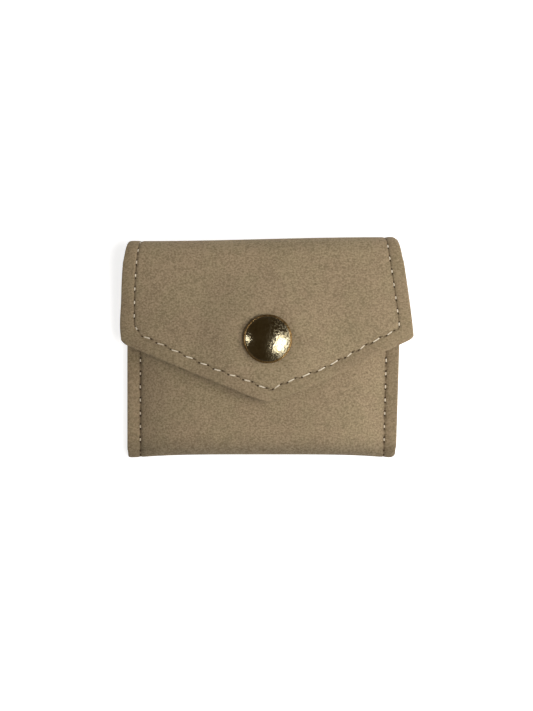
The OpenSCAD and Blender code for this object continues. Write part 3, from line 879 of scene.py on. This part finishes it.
def side_stitches(shape):
    """The stitches down both sides of the pouch, on its front and its back."""
    sizes = shape.sizes
    stitches = []
    short = 2 * SIDE_SHARE * sizes.side_pitch
    bare_end = 2 * MM
    rows = int((shape.mouth_y - shape.bottom_y - bare_end) / sizes.side_pitch)
    for side in (-1, 1):
        x = shape.middle + side * shape.seam_half
        for k in range(-3, rows):
            y = shape.mouth_y - (k + 0.5) * sizes.side_pitch
            place = x + float(shape.lean(x, y))
            if k >= 0:
                top = (place, y, shape.pinched_z - STITCH_SINK)
                stitches.append(seam_stitch(top, (0, -1, 0), (0, 0, 1), short, sizes))
            if y < shape.fold_y - bare_end:
                back = (place, y, STITCH_SINK)
                stitches.append(seam_stitch(back, (0, -1, 0), (0, 0, -1), short, sizes))
    return join_stitches("side_stitching", stitches)


def hem_stitches(shape):
    """The stitches along the mouth's edge."""
    sizes = shape.sizes
    stitches = []
    bare_end = 4 * MM
    count = int((shape.seam_half - bare_end) / sizes.side_pitch)
    for k in range(-count, count + 1):
        x = k * sizes.side_pitch
        height = shape.front_z(np.array(x)) - STITCH_SINK
        place = (x, shape.mouth_y - sizes.hem_inset, float(height))
        stitches.append(seam_stitch(place, (1, 0, 0), (0, 0, 1), HEM_STITCH, sizes))
    return join_stitches("mouth_stitching", stitches)


def pocket_stitches(shape, name, rows):
    """Rows of stitches across the card pockets; each row is (node whose face it is on, y)."""
    sizes = shape.sizes
    stitches = []
    bare_end = 6 * MM
    count = int((shape.seam_half - bare_end) / sizes.side_pitch)
    for node, y in rows:
        low, high = box(node)
        for k in range(-count, count + 1):
            x = shape.middle + k * sizes.side_pitch
            drop = (high[2] - low[2] - sizes.lining_thickness) * (1 - shape.fill(np.array(x)))
            place = (x, y, high[2] - float(drop) - POCKET_SINK)
            stitches.append(seam_stitch(place, (1, 0, 0), (0, 0, 1), POCKET_STITCH, sizes))
    return join_stitches(name, stitches)


def flap_stitches(shape, face_at):
    """The stitches round the flap's edge, laid on the sewn face."""
    sizes = shape.sizes
    path, along = shape.flap_seam()
    counts, half = stitch_count(shape, along)
    stitches = []
    for number in range(math.ceil(counts[0] + 0.5), math.floor(counts[-1] - 0.3) + 1):
        at = np.interp(number, counts, along)
        share = float(np.interp(number, counts, half))
        is_long = share > LONG_SHARES[0]
        reach = share * (sizes.edge_pitch if is_long else sizes.side_pitch)
        ends = [np.array([np.interp(at + step, along, path[:, k]) for k in (0, 1)])
                for step in (-reach, reach)]
        start, end = face_at(ends[0]), face_at(ends[1])
        normal = face_at(ends[0] * 0.5 + ends[1] * 0.5, True)
        skew = -LONG_SKEW if is_long else 0
        stitches.append(thread_stitch(start, end, normal, sizes.thread_width, STITCH_PROUD, skew))
    return join_stitches("flap_stitching", stitches)


def face_finder(points, normals, flat):
    """A function that gives the point of a sewn face at a place of the unrolled sheet, or the
    face's normal there."""
    places = flat.reshape(-1, 2)
    spots = points.reshape(-1, 3)
    facing = normals.reshape(-1, 3)

    def face_at(place, want_normal=False):
        gap = ((places - place) ** 2).sum(1)
        near = np.argsort(gap)[:4]
        weight = 1 / (gap[near] + 1e-12)
        weight /= weight.sum()
        if want_normal:
            return (facing[near] * weight[:, None]).sum(0)
        return (spots[near] * weight[:, None]).sum(0)

    return face_at


# ---------------------------------------------------------------------------------------------
# Materials


class Value:
    """A number that varies over a surface. Sums on it add Math nodes to its node tree."""

    def __init__(self, nodes, socket):
        self.nodes = nodes
        self.socket = socket

    def __add__(self, other):
        return self.nodes.maths("ADD", self, other)

    def __sub__(self, other):
        return self.nodes.maths("SUBTRACT", self, other)

    def __rsub__(self, other):
        return self.nodes.maths("SUBTRACT", other, self)

    def __mul__(self, other):
        return self.nodes.maths("MULTIPLY", self, other)

    def __truediv__(self, other):
        return self.nodes.maths("DIVIDE", self, other)

    def __pow__(self, other):
        return self.nodes.maths("POWER", self, other)

    __radd__ = __add__
    __rmul__ = __mul__

    def size(self):
        return self.nodes.maths("ABSOLUTE", self)

    def sign(self):
        return self.nodes.maths("SIGN", self)

    def fraction(self):
        return self.nodes.maths("FRACT", self)

    def wave(self, length):
        """A sine from -1 to 1 that repeats at each length."""
        return self.nodes.maths("SINE", self * (2 * math.pi / length))

    def steps(self, start, end):
        """0 at start and 1 at end, with level ends."""
        settings = {"interpolation_type": "SMOOTHSTEP"}
        return self.nodes.add("ShaderNodeMapRange", settings, {0: self, 1: start, 2: end, 3: 0.0, 4: 1.0})[0]


class Nodes:
    """A node tree, and the one way to add any node to it."""

    def __init__(self, tree):
        self.tree = tree

    def add(self, kind, settings=None, values=None):
        """A new node's outputs. Settings are set first, then its sockets' numbers or links."""
        node = self.tree.nodes.new(kind)
        for key, value in (settings or {}).items():
            if key == "stops":
                while len(node.color_ramp.elements) < len(value):
                    node.color_ramp.elements.new(0.5)
                for stop, (position, colour) in zip(node.color_ramp.elements, value):
                    stop.position = position
                    stop.color = colour
            else:
                setattr(node, key, value)
        for key, value in (values or {}).items():
            if isinstance(value, Value):
                self.tree.links.new(value.socket, node.inputs[key])
            else:
                node.inputs[key].default_value = value
        return [Value(self, socket) for socket in node.outputs]

    def maths(self, operation, *values):
        return self.add("ShaderNodeMath", {"operation": operation}, dict(enumerate(values)))[0]

    def parts(self, vector):
        return self.add("ShaderNodeSeparateXYZ", None, {0: vector})

    def link(self, value, node, name):
        self.tree.links.new(value.socket, self.tree.nodes[node].inputs[name])


class Finish(Nodes):
    """A material, with the nodes that its textures are made of."""

    def __init__(self, name, **constants):
        self.material = bpy.data.materials.new(name)
        self.material.use_nodes = True
        super().__init__(self.material.node_tree)
        for key, value in constants.items():
            self.constant(key.replace("_", " ").title().replace("Ior", "IOR"), value)

    def constant(self, name, value):
        """Sets a socket of the shader that is the same all over the surface."""
        self.tree.nodes["Principled BSDF"].inputs[name].default_value = value

    def surface(self, name, value):
        """Links what changes over the surface to a socket of the shader."""
        self.link(value, "Principled BSDF", name)

    def attribute(self, name):
        """A vector that the mesh carries."""
        return self.add("ShaderNodeAttribute", {"attribute_name": name})[1]

    def noise(self, place, per_mm, detail=2.0, rough=0.5, seed=0.0):
        """Noise from 0 to 1 with so many waves in a millimetre."""
        values = {"Vector": place, "W": seed, "Scale": per_mm * 1000, "Detail": detail, "Roughness": rough}
        return self.add("ShaderNodeTexNoise", {"noise_dimensions": "4D"}, values)[0]

    def turned(self, place, angle, stretch):
        """Places turned about Z and stretched along the new X."""
        values = {"Vector": place, "Rotation": (0, 0, angle * DEGREE), "Scale": (stretch, 1.0, 1.0)}
        return self.add("ShaderNodeMapping", {"vector_type": "POINT"}, values)[0]

    def mix(self, amount, first, second):
        """A colour between two, by an amount from 0 to 1."""
        values = {0: amount, 6: solid(first), 7: solid(second)}
        return self.add("ShaderNodeMix", {"data_type": "RGBA"}, values)[2]

    def bump(self, height, depth):
        """A normal bent by a height from 0 to 1 that stands for a depth in metres."""
        return self.add("ShaderNodeBump", None, {"Strength": 1.0, "Distance": depth, "Height": height})[0]


def solid(colour):
    """A colour as a socket takes it; a Value passes through."""
    return colour if isinstance(colour, Value) else (*tuple(colour)[:3], 1.0)


def tinted(colour, red, green, blue):
    return tuple(part * factor for part, factor in zip(colour, (red, green, blue)))


def suede_nap(finish, rest, colours, shape):
    """The nap's colour and its relief: slow patches, grain and fibres, flecks of dark and pale hair, and
    painted shade that darkens it towards the bottom fold, where the strip curves away from the light."""
    cloud = finish.noise(rest, 0.055, 3.0, 0.55)
    patch = finish.noise(rest, 0.30, 3.0, 0.6, 3.0)
    grain = finish.noise(rest, 1.5, 3.0, 0.65, 7.0)
    fibre = finish.noise(finish.turned(rest, 38, 0.4), 2.4, 3.0, 0.6, 11.0)
    nap = (cloud - 0.5) * 0.35 + (patch - 0.5) * 0.6 + (grain - 0.5) * 2.4 + (fibre - 0.5) * 1.5
    lit = (nap + 0.62).steps(0.1, 1.1)
    base = finish.mix(lit, colours.suede_shade, colours.suede)
    hue = finish.noise(rest, 0.09, 2.0, 0.5, 17.0).steps(0.40, 0.62)
    pink, green = tinted(colours.suede, 1.06, 0.98, 1.02), tinted(colours.suede, 0.95, 1.02, 0.93)
    base = finish.mix(0.16, base, finish.mix(hue, pink, green))
    dark = finish.noise(finish.turned(rest, -52, 0.35), 1.3, 2.0, 0.5, 23.0).steps(0.665, 0.74)
    base = finish.mix(dark * 0.5, base, tinted(colours.suede_shade, 0.45, 0.42, 0.4))
    pale = finish.noise(finish.turned(rest, 35, 0.4), 1.5, 2.0, 0.5, 31.0).steps(0.68, 0.76)
    base = finish.mix(pale * 0.35, base, tinted(colours.suede, 1.7, 1.75, 1.8))
    # Painted shade: darker copies of the nap towards the bottom fold stand for the fold curving away from the
    # light.
    low = float(shape.bottom_y)
    fold_shade = 1 - finish.parts(rest)[1].steps(low + 0.5 * MM, low + 9 * MM)
    fold_shade_colours = [tinted(colour, 0.66, 0.67, 0.69) for colour in (colours.suede_shade, colours.suede)]
    base = finish.mix(fold_shade, base, finish.mix(lit, *fold_shade_colours))
    return base, grain * 0.5 + fibre * 0.35 + patch * 0.6


def seam_marks(finish, rest, shape):
    """What the sewing leaves on the suede, from 0 to 1: its holes, whose dark colour is painted shade, the
    painted shadow in the groove between them, and painted shade over the seam and over the margin outside it."""
    across, run, half = finish.parts(finish.attribute("seam"))
    is_long = half.steps(*LONG_SHARES)
    pitch, long_pitch = shape.sizes.side_pitch / MM, shape.sizes.edge_pitch / MM
    place = (run + 0.5).fraction() - 0.5
    to_hole = (place.size() - half) * (pitch + (long_pitch - pitch) * is_long)
    off = (across + place.sign() * is_long * (LONG_SKEW / MM / 2)).size()
    ragged = finish.noise(rest, 0.8, 2.0, 0.6, 41.0)
    hole_length, hole_width = 0.55, 0.38
    hole = 1 - ((to_hole / hole_length) ** 2 + (off / hole_width) ** 2 + ragged).steps(0.55, 1.45)
    between = to_hole.steps(0.0, 0.4)
    # Painted shadow: a dark line in the groove between the stitch holes.
    line = (1 - (off + ragged * 0.3).steps(0.20, 0.55)) * between * ragged.steps(0.34, 0.58)
    # Painted shade over the seam's groove.
    shade = (1 - across.size().steps(0.3, 1.5)) * 0.22
    # Painted shade over the margin between the seam and the cut edge.
    margin = across.steps(0.3, 1.3) * 0.20
    return hole, line, shade + margin


def suede_finish(colours, shape):
    """Napped suede with the marks of its seams, which carry painted shade and painted shadow."""
    finish = Finish("suede_nap", roughness=0.93, specular_ior_level=0.18, sheen_weight=0.10,
                    sheen_roughness=0.6, sheen_tint=solid(tinted(colours.suede, 1.9, 1.9, 2.0)))
    rest = finish.attribute("rest")
    base, relief = suede_nap(finish, rest, colours, shape)
    hole, line, shade = seam_marks(finish, rest, shape)
    # Painted shade over the seams and their margins.
    base = finish.mix(shade, base, tinted(colours.suede_shade, 0.95, 0.93, 0.90))
    # Painted shadow in the grooves between the stitch holes.
    base = finish.mix(line * 0.62, base, tinted(colours.suede_shade, 0.42, 0.36, 0.33))
    # Painted shade inside the stitch holes.
    base = finish.mix(hole * 0.90, base, colours.hole)
    finish.surface("Base Color", base)
    finish.surface("Normal", finish.bump(relief - hole * 2.2 - line * 0.7, 0.16 * MM))
    return finish.material


def lining_finish(colours):
    """A plain woven lining in fine twill."""
    finish = Finish("lining_twill", roughness=0.82, specular_ior_level=0.25, sheen_weight=0.15)
    rest = finish.attribute("rest")
    place = finish.parts(rest)
    rows = (place[0] + place[1]).wave(0.55 * MM)
    threads = place[0].wave(0.36 * MM)
    weave = rows * 0.35 + threads * 0.15 + 0.5
    cloud = finish.noise(rest, 0.12, 3.0, 0.5)
    slub = finish.noise(finish.turned(rest, 0, 0.12), 1.6, 2.0, 0.5, 5.0)
    tone = (weave * 0.45 + cloud * 0.35 + slub * 0.35).steps(0.15, 0.95)
    base = finish.mix(tone, tinted(colours.lining, 0.55, 0.52, 0.5), tinted(colours.lining, 1.2, 1.2, 1.15))
    finish.surface("Base Color", base)
    finish.surface("Normal", finish.bump(weave * 0.7 + slub * 0.5, 0.07 * MM))
    return finish.material


def thread_finish(colours):
    """Waxed linen thread, a little soiled in its lay."""
    finish = Finish("thread_linen", roughness=0.68, specular_ior_level=0.35, sheen_weight=0.1)
    rest = finish.attribute("rest")
    hair = finish.noise(rest, 3.2, 2.0, 0.6)
    soil = finish.noise(rest, 0.25, 2.0, 0.5, 9.0)
    base = finish.mix(hair.steps(0.2, 0.8), tinted(colours.thread, 0.62, 0.56, 0.48), colours.thread)
    base = finish.mix(soil.steps(0.5, 0.75) * 0.4, base, tinted(colours.thread, 0.5, 0.42, 0.33))
    finish.surface("Base Color", base)
    finish.surface("Normal", finish.bump(hair, 0.05 * MM))
    return finish.material


def brass_finish(colours):
    """Pressed brass, a little dulled and finely scratched."""
    finish = Finish("brass_plain", metallic=1.0)
    rest = finish.attribute("rest")
    blotch = finish.noise(rest, 0.35, 4.0, 0.6)
    speck = finish.noise(rest, 2.4, 3.0, 0.7, 4.0)
    scratch = finish.noise(finish.turned(rest, 25, 0.06), 3.5, 2.0, 0.5, 8.0)
    dull = (blotch * 0.7 + speck * 0.5).steps(0.35, 0.85)
    base = finish.mix(dull * 0.6, colours.brass, tinted(colours.brass, 0.5, 0.42, 0.33))
    finish.surface("Base Color", base)
    finish.surface("Roughness", 0.18 + dull * 0.2 + (speck - 0.5) * 0.15)
    finish.surface("Normal", finish.bump(speck * 0.6 + scratch * 0.4, 0.012 * MM))
    return finish.material


def cap_finish(colours, shape):
    """Antique brass: the dome is darkened and finely pitted, the rolled rim is rubbed brown."""
    finish = Finish("brass_antique", metallic=1.0)
    rest = finish.attribute("rest")
    place = finish.parts(rest)
    reach = (place[0] ** 2 + (place[1] - float(shape.snap[1])) ** 2) ** 0.5
    rim = reach.steps(shape.cap_r - 0.75 * MM, shape.cap_r - 0.5 * MM)
    blotch = finish.noise(rest, 0.28, 4.0, 0.6)
    pit = finish.noise(rest, 1.2, 2.0, 0.55, 4.0)
    patch = (blotch * 0.6 + pit * 0.5).steps(0.36, 0.78)
    dome = finish.mix(patch, tinted(colours.cap, 0.62, 0.55, 0.42), colours.cap)
    edge = finish.mix(patch, tinted(colours.cap_rim, 0.45, 0.40, 0.35), colours.cap_rim)
    finish.surface("Base Color", finish.mix(rim, dome, edge))
    handled = place[0].steps(-0.5 * shape.cap_r, 0.5 * shape.cap_r)
    matt = finish.noise(rest, 1.5, 2.0, 0.6, 9.0).steps(0.46, 0.58) * handled
    finish.surface("Roughness", 0.10 + matt * 0.19 + (1 - patch) * 0.05 + rim * 0.15)
    finish.surface("Normal", finish.bump(pit + blotch * 0.2, 0.07 * MM))
    return finish.material


def spring_finish():
    """Drawn spring steel."""
    finish = Finish("spring_wire", metallic=1.0)
    rest = finish.attribute("rest")
    drawn = finish.noise(finish.turned(rest, 0, 0.3), 3.0, 2.0, 0.5)
    finish.surface("Base Color", finish.mix(drawn.steps(0.3, 0.7), (0.42, 0.42, 0.43), (0.62, 0.61, 0.60)))
    finish.surface("Roughness", 0.22 + drawn * 0.2)
    return finish.material


def floor_finish():
    """A pale matt studio floor."""
    pale, white = (0.6, 0.6, 0.6), (1.0, 1.0, 1.0)
    return Finish("studio_floor", roughness=0.9, specular_ior_level=0.1, base_color=solid(pale),
                  emission_color=solid(white), emission_strength=0.75).material


def finish_piece(piece, material, slot):
    """Gives a piece its material and the resting places that its textures follow; slot is not used."""
    mesh = piece.data
    count = len(mesh.vertices)
    places = np.empty(count * 3, np.float32)
    mesh.vertices.foreach_get("co", places)
    layer = mesh.attributes.new("rest", "FLOAT_VECTOR", "POINT")
    layer.data.foreach_set("vector", places)
    mesh.materials.append(material)


# ---------------------------------------------------------------------------------------------
# Operators


def wallet_parts(context):
    """The shape and the colours that the operators work from."""
    return WalletShape(context.scene.wallet_sizes), context.scene.wallet_colours


def shared_material(name, make):
    return bpy.data.materials.get(name) or make()


def bend_over(piece, bodies, flat_end, fold_end):
    """Bakes a piece's place into its mesh; it does not bend the piece. The ends are (y, z) points on a
    diagonal across one half of the top fold, from its flat side to the fold's middle."""
    near, far = ((0, *flat_end), (0, *fold_end))
    if bodies[0] == "pouch":
        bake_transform(piece)
        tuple(near)
        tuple(far)
    else:
        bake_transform(piece)
        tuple(far)
        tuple(near)


def bend_at_spine(piece, shape):
    """The strip's end goes over the first half of the top fold."""
    flat_end = (shape.fold_y + BEND_START, BEND_START)
    fold_end = (shape.fold_y + BEND_END, BEND_END)
    bend_over(piece, ("pouch", "flap_spine"), flat_end, fold_end)


def bend_at_flap(piece, shape):
    """The flap starts in the second half of the top fold."""
    top = 2 * shape.fold_r
    flat_end = (shape.fold_y + BEND_START, top - BEND_START)
    fold_end = (shape.fold_y + BEND_END, top - BEND_END)
    bend_over(piece, ("flap_spine", "flap"), flat_end, fold_end)


class AddStrip(bpy.types.Operator):
    """Adds the suede strip of the pouch with its lining and stitching"""
    bl_idname = "wallet.add_strip"
    bl_label = "Pouch"

    def execute(self, context):
        shape, colours = wallet_parts(context)
        sizes = shape.sizes
        suede = shared_material("suede_nap", lambda: suede_finish(colours, shape))
        lining = shared_material("lining_twill", lambda: lining_finish(colours))
        thread = shared_material("thread_linen", lambda: thread_finish(colours))
        strip = build_strip(shape)
        points, edge, *_ = strip_grid(shape, LINING_STEP, sizes.lining_setback)
        inner = lining_under("strip_lining", points, edge, shape)
        sides, hem = side_stitches(shape), hem_stitches(shape)
        finish_piece(strip, suede, "suede")
        finish_piece(inner, lining, "lining")
        finish_piece(sides, thread, "thread")
        finish_piece(hem, thread, "thread")
        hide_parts("outer_shell")
        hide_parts("shell_lining")
        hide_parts("left_side_seam", "right_side_seam")
        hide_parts("mouth_seam")
        for piece in (strip, inner, sides):
            bend_at_spine(piece, shape)
        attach(hem, "pouch")
        return {"FINISHED"}


class AddPockets(bpy.types.Operator):
    """Adds the two card pockets with their stitching"""
    bl_idname = "wallet.add_pockets"
    bl_label = "Card pockets"

    def execute(self, context):
        shape, colours = wallet_parts(context)
        lining = shared_material("lining_twill", lambda: lining_finish(colours))
        thread = shared_material("thread_linen", lambda: thread_finish(colours))
        rear = build_pocket(shape, "rear_pocket", "rear_card_pocket", 0.7)
        front = build_pocket(shape, "front_pocket", "front_card_pocket", 2.9)
        rows = [(node, box(node)[1][1] - POCKET_HEM) for node in ("rear_card_pocket", "front_card_pocket")]
        foot_low, foot_high = box("pocket_foot_seam")
        foot = [("front_card_pocket", (foot_low[1] + foot_high[1]) / 2)]
        edges = pocket_stitches(shape, "pocket_hem_stitching", rows)
        feet = pocket_stitches(shape, "pocket_foot_stitching", foot)
        for piece, node in ((rear, "rear_card_pocket"), (front, "front_card_pocket")):
            finish_piece(piece, lining, "lining")
            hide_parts(node)
            low, high = box(node)
        for piece, node in ((edges, "pocket_edge_seams"), (feet, "pocket_foot_seam")):
            finish_piece(piece, thread, "thread")
            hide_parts(node)
        for piece in (rear, front, edges, feet):
            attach(piece, "pouch")
        return {"FINISHED"}


class AddFlap(bpy.types.Operator):
    """Adds the flap with its lining and its edge stitching"""
    bl_idname = "wallet.add_flap"
    bl_label = "Flap"

    def execute(self, context):
        shape, colours = wallet_parts(context)
        sizes = shape.sizes
        suede = shared_material("suede_nap", lambda: suede_finish(colours, shape))
        lining = shared_material("lining_twill", lambda: lining_finish(colours))
        thread = shared_material("thread_linen", lambda: thread_finish(colours))
        skin, face, normal, flat = build_flap(shape)
        points, edge, _ = flap_grid(shape, LINING_STEP, sizes.lining_setback)
        inner = lining_under("flap_lining_skin", points, edge, shape)
        sewing = flap_stitches(shape, face_finder(face, normal, flat))
        finish_piece(skin, suede, "suede")
        finish_piece(inner, lining, "lining")
        finish_piece(sewing, thread, "thread")
        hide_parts("flap_suede", "fold_suede")
        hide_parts("flap_lining", "fold_lining")
        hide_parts("flap_seam", "fold_seams")
        for piece in (skin, inner, sewing):
            bend_at_flap(piece, shape)
        return {"FINISHED"}


class AddSnap(bpy.types.Operator):
    """Adds the ring snap: cap, post, socket and spring on the flap, stud and rivet on the pouch"""
    bl_idname = "wallet.add_snap"
    bl_label = "Snap"

    def execute(self, context):
        shape, colours = wallet_parts(context)
        rubbed = shared_material("brass_antique", lambda: cap_finish(colours, shape))
        plain = shared_material("brass_plain", lambda: brass_finish(colours))
        steel = shared_material("spring_wire", spring_finish)
        makers = [
            (build_cap, "snap_cap", "flap", rubbed, "brass"),
            (build_post, "cap_post", "flap", plain, "brass"),
            (build_socket, "snap_socket", "flap", plain, "brass"),
            (build_spring, "snap_spring", "flap", steel, "spring"),
            (build_stud, "snap_stud", "pouch", plain, "brass"),
            (build_stud_rivet, "stud_rivet", "pouch", plain, "brass"),
        ]
        for make, node, body, material, slot in makers:
            piece = make(shape)
            finish_piece(piece, material, slot)
            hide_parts(node)
            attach(piece, body)
        return {"FINISHED"}


def area_light(name, aim, direction, distance, size, power, colour):
    """A soft rectangular light at a distance from aim, in a direction, facing it."""
    data = bpy.data.lights.new(name, "AREA")
    data.shape = "RECTANGLE"
    data.size, data.size_y = size
    data.energy = power
    data.color = colour
    light = bpy.data.objects.new(name, data)
    away = Vector(direction).normalized()
    light.location = Vector(aim) + away * distance
    light.rotation_euler = away.to_track_quat("Z", "Y").to_euler()
    bpy.context.scene.collection.objects.link(light)


def studio_world(zenith, horizon):
    """A room that is dark overhead and bright towards its walls."""
    world = bpy.data.worlds.new("studio_room")
    world.use_nodes = True
    nodes = Nodes(world.node_tree)
    between = [0.7 * low + 0.3 * high for low, high in zip(horizon, zenith)]
    stops = [(0.0, solid(horizon)), (0.45, solid(between)), (0.75, solid(zenith))]
    height = nodes.parts(nodes.add("ShaderNodeTexCoord")[0])[2]
    nodes.link(nodes.add("ShaderNodeValToRGB", {"stops": stops}, {0: height})[0], "Background", "Color")
    bpy.context.scene.world = world


class AddStage(bpy.types.Operator):
    """Adds the floor, the room, the lights and the camera"""
    bl_idname = "wallet.add_stage"
    bl_label = "Stage"

    def execute(self, context):
        scene = context.scene
        reach = 3.0
        corners = [(-reach, -reach, 0), (reach, -reach, 0), (reach, reach, 0), (-reach, reach, 0)]
        floor = new_object("studio_floor", np.array(corners), [(0, 1, 2, 3)])
        floor.data.materials.append(floor_finish())
        floor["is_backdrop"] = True
        studio_world((0.10, 0.07, 0.035), (0.52, 0.57, 0.63))
        aim = (0, 0, 12 * MM)
        area_light("key_light", aim, (0.43, -0.17, 1.0), 0.9, (0.44, 0.27), 4.2, (1.0, 0.99, 0.97))
        area_light("side_light", aim, (1.0, 0.08, 0.66), 0.45, (0.2, 0.2), 1.05, (1.0, 0.98, 0.95))
        area_light("left_light", aim, (-0.78, 0.0, 1.0), 1.1, (0.09, 0.14), 0.6, (1.0, 1.0, 1.0))
        area_light("rim_light", aim, (0.72, -0.72, 0.6), 1.0, (0.45, 0.08), 0.9, (1.0, 1.0, 1.0))
        sensor = 36.0
        distance = 0.8
        view_height = 253.1 * MM
        view_middle = (-0.445 * MM, -2.37 * MM)
        lens = bpy.data.cameras.new("camera")
        lens.sensor_fit = "VERTICAL"
        lens.sensor_height = sensor
        lens.lens = sensor * distance / view_height
        lens.clip_start = 0.01
        camera = bpy.data.objects.new("camera", lens)
        camera.location = (*view_middle, aim[2] + distance)
        camera.rotation_euler = Euler((0, 0, 0))
        scene.collection.objects.link(camera)
        scene.camera = camera
        scene.view_settings.view_transform = "Standard"
        return {"FINISHED"}


class WalletPanel(bpy.types.Panel):
    """The wallet's pieces, sizes and colours"""
    bl_idname = "VIEW3D_PT_wallet"
    bl_label = "Envelope Wallet"
    bl_space_type = "VIEW_3D"
    bl_region_type = "UI"
    bl_category = "Wallet"

    def draw(self, context):
        layout = self.layout
        for operator in OPERATORS:
            layout.operator(operator.bl_idname)
        for group in (context.scene.wallet_sizes, context.scene.wallet_colours):
            for key in group.bl_rna.properties.keys():
                if key not in ("rna_type", "name"):
                    layout.prop(group, key)


OPERATORS = (AddStrip, AddPockets, AddFlap, AddSnap, AddStage)
CLASSES = (WalletSizes, WalletColours, *OPERATORS, WalletPanel)


def register():
    for item in CLASSES:
        bpy.utils.register_class(item)
    bpy.types.Scene.wallet_sizes = bpy.props.PointerProperty(type=WalletSizes)
    bpy.types.Scene.wallet_colours = bpy.props.PointerProperty(type=WalletColours)


def unregister():
    del bpy.types.Scene.wallet_sizes
    del bpy.types.Scene.wallet_colours
    for item in reversed(CLASSES):
        bpy.utils.unregister_class(item)


def main():
    """Builds every piece in order."""
    register()
    bpy.ops.wallet.add_strip()
    bpy.ops.wallet.add_pockets()
    bpy.ops.wallet.add_flap()
    bpy.ops.wallet.add_snap()
    bpy.ops.wallet.add_stage()
    boxes = {"frame": frame_bounds, "built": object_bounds()}
    boxes = {name: [[float(x) for x in corner] for corner in corners] for name, corners in boxes.items()}


if __name__ == "__main__":
    main()
